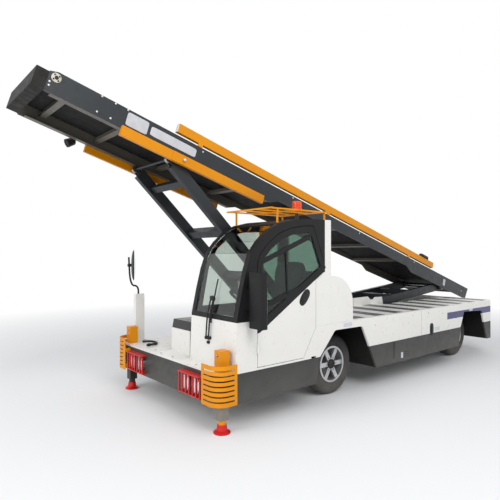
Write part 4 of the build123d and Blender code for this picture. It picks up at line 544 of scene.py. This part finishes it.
right_leg = coat("jack_leg_right", *LEG_DARK, rough=(0.3, 0.5), metallic=0.3, patch=12, zones=[RIGHT_FOOT])
dress(left_leg, "jack_leg_left")
dress(right_leg, "jack_leg_right")
LOCKING_PIN = [(0.009, -0.002), (0.009, 0.012), (0.005, 0.016)]
GUARD_BOLT = [(0.009, -0.001), (0.009, 0.004), (0.006, 0.006)]
PIN_X, PIN_Y, PIN_Z = 2.535, 0.93, 0.715
GUARD_X, GUARD_Y, GUARD_HEIGHTS = 2.430, 1.06, (0.320, 0.500)
pin_heads = []
for hand in (1, -1):
    pin_heads.append(turned(LOCKING_PIN, (PIN_X, hand * PIN_Y, PIN_Z), (1, 0, 0), 16))
    pin_heads += [turned(GUARD_BOLT, (GUARD_X, hand * GUARD_Y, z), (0, hand, 0), 6) for z in GUARD_HEIGHTS]
add_piece("guard_bolts", pin_heads, nut_steel, "body", smooth=False)

# Headlamps: two pressed chrome bowls with clear lenses on each side of the front, let into the band.
# A cage of red square bar under a folded hood guards each pair.
red = coat("red_paint", (0.62, 0.013, 0.010), (0.5, 0.009, 0.008), rough=(0.25, 0.4), wear=(0.12, 0.02, 0.02))
dress(red, "lamp_guards")
chrome = coat("lamp_chrome", (0.78, 0.79, 0.80), (0.66, 0.67, 0.68), rough=(0.1, 0.22), metallic=1.0,
              patch=14)
dress(chrome, "headlamps")
lens_glass = coat("lamp_lens", (0.86, 0.88, 0.90), (0.78, 0.80, 0.83), rough=(0.05, 0.12), peel=0.6,
                  peel_scale=90.0, specular=0.9)
LENS = [(0.067, -0.001), (0.066, 0.003), (0.052, 0.006), (0.029, 0.008), (0.009, 0.009)]
LAMP_X, LAMP_Y, LAMP_Z, LAMP_APART = 2.601, 0.58, 0.395, 0.085
lamp_places = [(LAMP_X, hand * LAMP_Y + shift, LAMP_Z) for hand in (1, -1)
               for shift in (-LAMP_APART, LAMP_APART)]
add_piece("lamp_lenses", [turned(LENS, place, (1, 0, 0), 48) for place in lamp_places], lens_glass, "body")

# Cab: a welded shell in white with a black lining, a black frame round the glass, and a hinged door.
# The windscreen and windows are green tinted safety glass, bonded in.
LINING = (0.012, 0.012, 0.013)
CAB_INSIDE = (LINING, (1.0945, 0.2885, 0.589), (2.366, 1.001, 1.9935))
DOOR_INSIDE = (LINING, (None, None, None), (None, 0.992, None))
dress(coat("cab_white", *WHITE, dust=0.2, dust_top=0.9, zones=[CAB_INSIDE]), "cab_shell")
dress(coat("door_white", *WHITE, dust=0.2, dust_top=0.9, zones=[DOOR_INSIDE]), "door_panel")
dress(coat("cowl_white", *WHITE), "rear_cowl")
frame_black = coat("frame_black", (0.013, 0.013, 0.014), (0.008, 0.008, 0.009), rough=(0.35, 0.55),
                   specular=0.22, peel=0.05)
dress(frame_black, "cab_frame", "door_frame", "side_mirror")


def glazing(name, tint):
    """Tinted glass: clear through, with a faint waviness and smears that vary its gloss."""
    finish = coat(name, tint, tuple(0.94 * c for c in tint), rough=(0.0, 0.05), peel=0.01, peel_scale=8.0)
    shader = finish.node_tree.nodes["Principled BSDF"]
    shader.inputs["Transmission Weight"].default_value = 1.0
    shader.inputs["IOR"].default_value = 1.45
    return finish


dress(glazing("screen_glass", (0.70, 0.76, 0.72)), "cab_glass")
dress(glazing("door_glass", (0.13, 0.25, 0.19)), "door_glass")


# Wiper: two parallel steel arms on a bracket below the screen, and a rubber blade that follows the glass.
# The arms turn on two round sockets, screwed through the cab's front.
# Corners of the cab's front: height, place along the vehicle
CAB_FRONT = [(0.56, 2.405), (1.04, 2.385), (1.29, 2.330), (1.50, 2.275), (1.66, 2.215), (1.78, 2.115)]


def screen_x(z):
    """The front of the cab at a height, straight between the corners of its section."""
    return np.interp(z, *zip(*CAB_FRONT))


def on_screen(z, y, proud):
    """A place on the cab's front, this far proud of it."""
    return float(screen_x(z)) + proud, y, z


ARM_FOOT = 0.82
ARM_LEAN = 0.05
ARM_PROUD = 0.024
ARM_RADIUS = 0.0075
ARM_SOCKET = [(0.017, 0.0), (0.017, 0.03), (0.012, 0.036)]
SOCKET_SUNK = 0.002
WIPER_ARMS = [(0.570, 1.19), (0.615, 1.23)]  # each arm's place off the middle and the height of its top
BLADE_Y, BLADE_FOOT, BLADE_TOP = 0.632, 0.97, 1.40
BLADE_PROUD, BLADE_RADIUS = 0.012, 0.007
# Brackets, on the blade and below the arms: height, place off the middle, how proud, size, thickness, power
BRACKETS = [(1.21, 0.612, 0.012, (0.075, 0.05), 0.02, 4), (0.775, 0.592, -0.002, (0.035, 0.03), 0.022, 4)]
wiper = []
for y, top in WIPER_ARMS:
    heights = np.linspace(ARM_FOOT, top, 9)
    arm = np.stack([screen_x(heights) + ARM_PROUD, y + (heights - ARM_FOOT) * ARM_LEAN, heights], 1)
    wiper.append(pipe(arm, ARM_RADIUS, 10, (0, 1, 0), 1))
    wiper.append(turned(ARM_SOCKET, on_screen(ARM_FOOT, y, -SOCKET_SUNK), (1, 0, 0), 24))
heights = np.linspace(BLADE_FOOT, BLADE_TOP, 15)
blade = np.stack([screen_x(heights) + BLADE_PROUD, np.full(15, BLADE_Y), heights], 1)
wiper.append(pipe(blade, BLADE_RADIUS, 8, (0, 1, 0), 0))
wiper += [plate(on_screen(z, y, proud), (0, 1, 0), (0, 0, 1), *form) for z, y, proud, *form in BRACKETS]
add_piece("wiper", wiper, cap_black, "body")

# Door handle and glazing bars: a black moulded dish on the door's face with a flap across it, and three black
# bars bonded to the outside of the door's glass.
HANDLE_X, HANDLE_Z = 1.485, 1.195
HANDLE_LEAN = math.radians(50)
along = (-math.cos(HANDLE_LEAN), 0, math.sin(HANDLE_LEAN))
across = (math.sin(HANDLE_LEAN), 0, math.cos(HANDLE_LEAN))
# Dish and flap: place off the middle, size, thickness, power, bevel
HANDLE_PARTS = [(1.029, (0.195, 0.105), 0.006, 2.4, 0.12), (1.034, (0.120, 0.060), 0.008, 3.0, 0.3)]
handle = [plate((HANDLE_X, y, HANDLE_Z), along, across, *form) for y, *form in HANDLE_PARTS]
add_piece("door_handle", handle, cap_black, "cab_door")
GLASS_FACE = 1.0203
BAR_THICK = 0.009
# Each bar: its two ends (place along the vehicle, height) and its width
DOOR_BARS = [((1.385, 1.8375), (2.105, 1.561), 0.050), ((1.410, 1.329), (2.100, 1.129), 0.057),
             ((1.733, 1.240), (1.753, 1.690), 0.018)]
bars = []
for (x0, z0), (x1, z1), wide in DOOR_BARS:
    run = np.array((x1 - x0, 0, z1 - z0))
    middle = (x0 + x1) / 2, GLASS_FACE, (z0 + z1) / 2
    bars.append(plate(middle, -run, (-run[2], 0, run[0]), (np.linalg.norm(run), wide), BAR_THICK, 30, 0.1))
add_piece("door_bars", bars, frame_black, "cab_door", smooth=False)

# Driver's seat: foam cushions in grey vinyl with two sewn channels each, on a plain closed base.
# The cushion and the back are separate pads, the back leaning a little.
vinyl = coat("seat_vinyl", (0.085, 0.087, 0.09), (0.055, 0.057, 0.06), rough=(0.45, 0.65), peel=0.35,
             peel_scale=260.0, patch=8)
PAD_ROWS, PAD_STEPS = 49, 96
PAD_ROUNDING = 0.42
PAD_CROWN = 0.010
# As shares of the pad's half sizes
CHANNEL_PLACE, CHANNEL_WIDTH, CHANNEL_DEPTH, CHANNEL_END = 0.45, 0.035, 0.10, 0.3
DRAW_IN, SINK = 0.05, 0.06


def fold(value):
    """A sine or cosine raised to the pads' rounding, with its sign kept."""
    return np.sign(value) * np.abs(value) ** PAD_ROUNDING


def cushion(centre, half, along, up):
    """A stuffed pad: each sine and cosine of a unit sphere is raised to the rounding, which gives a soft box
    of half sizes half. The face rises by crown (1 - x^2)(1 - y^2), the sides draw in between the corners, and
    two sewn channels dip where |y| is near the channel's place. Both poles are closed by a fan."""
    tilt = np.linspace(-np.pi / 2, np.pi / 2, PAD_ROWS)
    v, t = np.meshgrid(tilt, np.linspace(0, 2 * np.pi, PAD_STEPS, endpoint=False), indexing="ij")
    x, y, z = fold(np.cos(v)) * fold(np.cos(t)), fold(np.cos(v)) * fold(np.sin(t)), fold(np.sin(v))
    rise = PAD_CROWN * (1 - x ** 2) * (1 - y ** 2) / half[2]
    channel = CHANNEL_DEPTH * np.exp(-((np.abs(y) - CHANNEL_PLACE) / CHANNEL_WIDTH) ** 2) * (z > CHANNEL_END)
    draw_in = 1 - DRAW_IN * (1 - np.abs(x * y)) * (1 - z ** 2)
    height = z * (1 - channel) + np.where(z > 0, rise, 0) - SINK
    local = np.stack([x * half[0] * draw_in, y * half[1] * draw_in, height * half[2]], -1)
    along = np.asarray(along, float) / np.linalg.norm(along)
    up = np.asarray(up, float) / np.linalg.norm(up)
    grid = np.asarray(centre) + local @ np.stack([along, np.cross(up, along), up])
    return closed_grid(grid[1:-1], grid[0, 0], grid[-1, 0])


# Each pad: name, centre, half sizes, the way it lies, the way its face looks
SEAT_PADS = [("seat_cushion", (1.555, 0.65, 0.935), (0.225, 0.215, 0.062), (1, 0, 0.02), (-0.02, 0, 1)),
             ("seat_back", (1.350, 0.65, 1.285), (0.285, 0.215, 0.058), (-0.141, 0, 0.990),
              (0.990, 0, 0.141))]
for name, centre, half, lie, look in SEAT_PADS:
    pad = mesh_piece(name, *cushion(centre, half, lie, look), smooth=True)
    pad.data.materials.append(vinyl)
    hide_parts("seat")
    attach(pad, "body")
BASE_PLACE, BASE_SIZE, BASE_HEIGHT = (1.525, 0.65, 0.592), (0.34, 0.36), 0.28
seat_box = plate(BASE_PLACE, (1, 0, 0), (0, 1, 0), BASE_SIZE, BASE_HEIGHT, 8, 0.05)
seat_base = add_piece("seat_base", [seat_box], cap_black, "body")
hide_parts("seat")

# Dashboard, steering wheel and column: moulded in dark grey plastic with a fine leather-like grain.
# The column stands on the cab's floor in front of the seat, under the windscreen's foot.
dash = coat("dash_plastic", (0.050, 0.052, 0.054), (0.032, 0.034, 0.035), rough=(0.5, 0.7), peel=0.3,
            peel_scale=350.0, specular=0.3)
dress(dash, "dashboard")

# Door mirror: a flat glass in a tall black moulded housing, beside the cab's front pillar.
# Two short arms hold it, each in a round black clamp.
mirror_face = coat("mirror_glass", (0.80, 0.82, 0.84), (0.74, 0.76, 0.78), rough=(0.02, 0.06), metallic=1.0,
                   peel=0.005)
FLAT_GLASS_PLACE, FLAT_GLASS_SIZE, FLAT_GLASS_THICK = (2.195, 1.16, 1.2225), (0.150, 0.46), 0.003
flat_glass = plate(FLAT_GLASS_PLACE, (0, -1, 0), (0, 0, 1), FLAT_GLASS_SIZE, FLAT_GLASS_THICK, 6)
add_piece("side_mirror_glass", [flat_glass], mirror_face, "body")
CLAMP = [(0.020, -0.016), (0.020, 0.016)]
clamp_places = [(2.240, 1.075, z) for z in (1.095, 1.335)]
add_piece("mirror_clamps", [turned(CLAMP, place, (0, 1, 0), 24) for place in clamp_places], cap_black, "body")

# Round mirror: a convex glass in a black pressed back, turned towards the driver on a black bent rod.
# The rod stands in a white square tube, whose flange is bolted to the platform.
post_white = coat("post_white", *WHITE)
POST_PLACE = (2.370, -0.98, 0.56)
POST_SIZE, POST_HEIGHT = (0.12, 0.06), 0.59
square_tube = plate(POST_PLACE, (1, 0, 0), (0, 1, 0), POST_SIZE, POST_HEIGHT, 40, 0.04)
post_tube = add_piece("post_tube", [square_tube], post_white, "body", smooth=False)
ROD_PATH = [(2.380, -0.98, 1.11), (2.380, -0.98, 1.25), (2.490, -0.98, 1.26), (2.510, -0.98, 1.61)]
ROD_RADIUS = 0.011
bent_rod = pipe(ROD_PATH, ROD_RADIUS, 12, (0, 1, 0), 3)
mirror_rod = add_piece("mirror_rod", [bent_rod], cap_black, "body")
GLASS_CENTRE = (2.455, -0.956, 1.51)
GLASS_LOOKS = (-0.902, 0.432, 0)
MIRROR_BACK = [(0.03, -0.030), (0.10, -0.027), (0.16, -0.017), (0.187, -0.004), (0.190, 0.0), (0.187, 0.004),
               (0.178, 0.0055)]
MIRROR_JOINT = [(0.012, -0.076), (0.021, -0.068), (0.021, -0.044), (0.015, -0.028)]
mirror_back = add_piece("mirror_back", [turned(MIRROR_BACK, GLASS_CENTRE, GLASS_LOOKS, 64),
                                        turned(MIRROR_JOINT, GLASS_CENTRE, GLASS_LOOKS, 24)],
                        cap_black, "body")
DOME_RADIUS, DOME_TOP = 0.70, 0.028
DOME_EDGE, DOME_MIDDLE = 0.257, 0.02  # angles of the first and the last ring of the glass
dome = [(DOME_RADIUS * math.sin(a), DOME_TOP - DOME_RADIUS * (1 - math.cos(a)))
        for a in np.linspace(DOME_EDGE, DOME_MIDDLE, 14)]
mirror_dome = add_piece("convex_mirror", [turned([(0.178, 0.004), *dome], GLASS_CENTRE, GLASS_LOOKS, 64)],
                        mirror_face, "body")
for piece in (post_tube, mirror_rod, mirror_back, mirror_dome):
    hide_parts("mirror_post")
FLANGE_PLACE, FLANGE_SIZE, FLANGE_THICK = (2.375, -0.975, 0.559), (0.172, 0.100), 0.013
flange = plate(FLANGE_PLACE, (1, 0, 0), (0, 1, 0), FLANGE_SIZE, FLANGE_THICK, 20, 0.03)
add_piece("post_flange", [flange], post_white, "body", smooth=False)
flange_corners = [(x, y, 0.572) for x in (2.303, 2.447) for y in (-1.008, -0.943)]
add_piece("post_bolts", [turned(BOLT_HEAD, place, (0, 0, 1), 6) for place in flange_corners], nut_steel,
          "body", smooth=False)

# Beacon: an orange moulded lens with three raised rings, closed at the top.
# It stands on a black steel stem on the cab's roof.
STEM = ((0.02, 0.02, 0.02), (None, None, None), (None, None, 2.1325))
beacon_orange = coat("beacon_lens", (0.90, 0.085, 0.004), (0.80, 0.06, 0.003), rough=(0.1, 0.2),
                     zones=[STEM])
dress(beacon_orange, "beacon")
ring_orange = coat("beacon_ring", (0.60, 0.05, 0.004), (0.5, 0.04, 0.003), rough=(0.2, 0.3))
BEACON_RING = [(0.0545, -0.003), (0.0562, -0.002), (0.0562, 0.002), (0.0545, 0.003)]
ring_places = [(1.215, 0.65, z) for z in (2.145, 2.175, 2.205)]
add_piece("beacon_rings", [turned(BEACON_RING, place, (0, 0, 1), 48, loop=True) for place in ring_places],
          ring_orange, "body")

# Boom rest: a box of white sheet steel that stands on the platform beside the cab.
# A black rubber pad covers its top, and the lowered boom lies on it.
REST_PAD = ((0.012, 0.012, 0.012), (None, None, 0.8203), (None, None, None))
dress(coat("rest_white", *WHITE, zones=[REST_PAD]), "boom_rest")

# Lift arms, rods, rollers and pins: the arms are welded from box tube in slate paint, bared along the edges.
# The rods, the rollers, the trunnion and the boom's end rollers are ground steel.
SLATE = ((0.026, 0.031, 0.036), (0.018, 0.022, 0.026))
BARE_STEEL = (0.10, 0.10, 0.10)
slate = coat("slate_paint", *SLATE, rough=(0.3, 0.5), specular=0.35, wear=BARE_STEEL)
dress(slate, "front_arm", "rear_arm")
steel = coat("ground_steel", (0.42, 0.42, 0.42), (0.32, 0.32, 0.32), rough=(0.18, 0.32), metallic=1.0,
             patch=10)
dress(steel, "track_rollers", "trunnion", "front_rods", "rear_rods", "end_rollers")

# Boom: folded side plates in slate paint; everything inside and under them is a lighter brownish grey, painted
# bounce light from the ground below.
# Bolts, blank plates and the cream plates over the end roller's bearings are fixed to the outer faces.
BOOM_ANGLE = math.radians(16.45)
BOOM_ORIGIN = (-3.015, -0.26, 1.060)
BOOM_HALF = 0.45  # the side plates' outer faces, off the boom's middle
BOOM_SKIN = 0.4492  # just inside those faces
boom_turn = (BOOM_ANGLE, BOOM_ORIGIN)
# Painted bounce light: the lighter brownish grey that the slate inside and under the side plates shows when lit
# from below.
PAINTED_BOUNCE_LIGHT = (0.118, 0.108, 0.088)
CREAM = ((0.62, 0.58, 0.46), (0.52, 0.49, 0.39))
# The first two zones paint that bounce light inside and under the side plates; the last two are the cream
# plates over the bearings.
boom_zones = [(PAINTED_BOUNCE_LIGHT, (None, -BOOM_SKIN, -0.0225), (None, BOOM_SKIN, 0.149)),
              (PAINTED_BOUNCE_LIGHT, (None, -BOOM_SKIN, None), (None, BOOM_SKIN, -0.022)),
              (CREAM[0], (6.9, BOOM_HALF + 0.0002, None), (None, None, None)),
              (CREAM[0], (6.9, None, None), (None, -BOOM_HALF - 0.0002, None))]
boom_slate = coat("boom_slate", *SLATE, rough=(0.3, 0.5), specular=0.35, wear=BARE_STEEL, turn=boom_turn,
                  zones=boom_zones)
dress(boom_slate, "boom_frame")
boom_along = np.array((math.cos(BOOM_ANGLE), 0, math.sin(BOOM_ANGLE)))
boom_up = np.array((-math.sin(BOOM_ANGLE), 0, math.cos(BOOM_ANGLE)))


def on_boom(u, y, w):
    """A place by its run u along the boom, its offset y from the middle and its height w square to it."""
    return np.array(BOOM_ORIGIN) + u * boom_along + np.array((0, y, 0)) + w * boom_up


# Bolts: run along the boom, height
SIDE_BOLTS = [(7.128, 0.075), (7.125, 0.040), (6.673, 0.019), (6.536, 0.021), (6.667, 0.180), (6.528, 0.180),
              (6.397, 0.180), (5.481, 0.155), (4.041, 0.169), (2.60, 0.165), (1.054, 0.164), (-0.692, 0.085)]
# Blank plates: run along the boom, height of the middle, length, height
SIDE_PLATES = [(6.27, 0.100, 0.235, 0.135), (5.84, 0.100, 0.56, 0.095), (-0.02, 0.085, 0.075, 0.115)]
ROLLER_U, ROLLER_W = 7.085, 0.131
BEARING_PLATE = [(0.0435, -0.002), (0.0435, 0.008), (0.040, 0.010)]
BEARING_CAP = [(0.017, -0.002), (0.017, 0.004), (0.012, 0.006)]
BEARING_BOLT = [(0.008, -0.002), (0.008, 0.003), (0.005, 0.005)]
BEARING_CIRCLE = 0.030
bolts, plates, bearing, bearing_plates = [], [], [], []
for hand in (1, -1):
    bolts += [turned(BOLT_HEAD, on_boom(u, hand * BOOM_HALF, w), (0, hand, 0), 12) for u, w in SIDE_BOLTS]
    plates += [plate(on_boom(u, hand * BOOM_HALF, w), -hand * boom_along, boom_up, (length, height),
                     LABEL_THICK) for u, w, length, height in SIDE_PLATES]
    axle_end = on_boom(ROLLER_U, hand * BOOM_HALF, ROLLER_W)
    bearing_plates.append(turned(BEARING_PLATE, axle_end, (0, hand, 0), 48))
    plate_face = hand * (BOOM_HALF + BEARING_PLATE[-1][1])
    for a in np.radians((45, 135, 225, 315)):
        u, w = ROLLER_U + BEARING_CIRCLE * math.cos(a), ROLLER_W + BEARING_CIRCLE * math.sin(a)
        bearing.append(turned(BEARING_BOLT, on_boom(u, plate_face, w), (0, hand, 0), 6))
    bearing.append(turned(BEARING_CAP, on_boom(ROLLER_U, plate_face, ROLLER_W), (0, hand, 0), 24))
zinc = coat("zinc_bolt", (0.70, 0.70, 0.66), (0.58, 0.58, 0.54), rough=(0.3, 0.45), metallic=0.4, patch=60)
plate_white = coat("plate_white", (0.60, 0.60, 0.62), (0.50, 0.50, 0.53), rough=(0.3, 0.5), patch=12,
                   peel=0.05)
bearing_cream = coat("bearing_cream", *CREAM, rough=(0.35, 0.5), patch=30)
add_piece("boom_bolts", bolts, zinc, "boom")
add_piece("boom_blank_plates", plates, plate_white, "boom", smooth=False)
add_piece("bearing_plates", bearing_plates, bearing_cream, "boom")
add_piece("bearing_bolts", bearing, cap_black, "boom", smooth=False)

# Control box and lamps: a black moulded box on the upper rail, a spot lamp on a bent bar outside the far side
# plate, and a blue position lamp inside the near one.
BOX_U, BOX_Y = 0.74, 0.425
# Box and lid: height of the foot, size, thickness, power, bevel
BOX_PARTS = [(0.322, (0.23, 0.07), 0.052, 6, 0.12), (0.374, (0.19, 0.045), 0.004, 6, 0.2)]
box = [plate(on_boom(BOX_U, BOX_Y, w), boom_along, (0, 1, 0), *form) for w, *form in BOX_PARTS]
add_piece("control_box", box, cap_black, "boom")
SPOT_HOUSING = [(0.028, -0.055), (0.042, -0.04), (0.047, 0.03), (0.047, 0.045), (0.041, 0.046),
                (0.038, 0.036)]
SPOT_PLACE = (6.57, -0.515, -0.045)
SPOT_BAR_RADIUS = 0.007
spot_looks = 0.75 * boom_along - 0.66 * boom_up
spot_bar = [on_boom(6.52, -0.452, 0.02), on_boom(6.545, -0.48, 0.0), on_boom(6.56, -0.515, -0.03)]
add_piece("spot_lamp", [turned(SPOT_HOUSING, on_boom(*SPOT_PLACE), spot_looks, 32),
                        pipe(spot_bar, SPOT_BAR_RADIUS, 10, (1, 0, 0), 1)], cap_black, "boom")
BLUE_DOME = [(0.030, -0.004), (0.030, 0.010), (0.024, 0.022), (0.010, 0.027)]
blue_lens = coat("blue_lens", (0.02, 0.10, 0.42), (0.015, 0.07, 0.32), rough=(0.1, 0.25), patch=20)
BLUE_PLACE = (6.598, 0.437, 0.045)
add_piece("blue_lamp", [turned(BLUE_DOME, on_boom(*BLUE_PLACE), (0, -1, 0), 32)], blue_lens, "boom")

# Belt and nose: an endless belt of black rubber with low cross ribs, running over the two end rollers.
# The nose is a block of plain black rubber across the boom's front end.
BELT_RIBS = (0.025, 6.0)
belting = coat("belt_rubber", (0.016, 0.016, 0.016), (0.010, 0.010, 0.010), rough=(0.6, 0.8), specular=0.2,
               turn=boom_turn, ribs=BELT_RIBS, peel=0.25)
dress(belting, "belt")
nose_rubber = coat("nose_rubber", (0.022, 0.021, 0.019), (0.014, 0.013, 0.012), rough=(0.55, 0.8),
                   specular=0.25, peel=0.2, peel_scale=200.0)
dress(nose_rubber, "nose_bumper")

# Hand rails: folded yellow channel with pale moulded end caps, clamped by white knobs.
# The near rail has one knob only, because the lowered boom passes close to the cab.
RAIL_Y, RAIL_W = 0.425, 0.2745
RAIL_SECTION = (0.048, 0.093)
RAIL_ENDS = [(0.437, -1), (5.833, 1)]  # run along the boom, way that the end faces
KNOB_Y, KNOB_W = 0.495, -0.048
RAIL_KNOB = [(0.010, -0.001), (0.010, 0.010), (0.016, 0.014), (0.016, 0.026), (0.008, 0.030)]
caps, knobs = [], []
for hand, knob_runs in ((1, (5.70,)), (-1, (5.70, 4.70))):
    caps += [plate(on_boom(u, hand * RAIL_Y, RAIL_W), (0, facing, 0), boom_up, RAIL_SECTION, 0.004, 8)
             for u, facing in RAIL_ENDS]
    knobs += [turned(RAIL_KNOB, on_boom(u, hand * KNOB_Y, KNOB_W), (0, hand, 0), 24) for u in knob_runs]
add_piece("rail_caps", caps, zinc, "boom", smooth=False)
add_piece("rail_knobs", knobs, zinc, "boom")
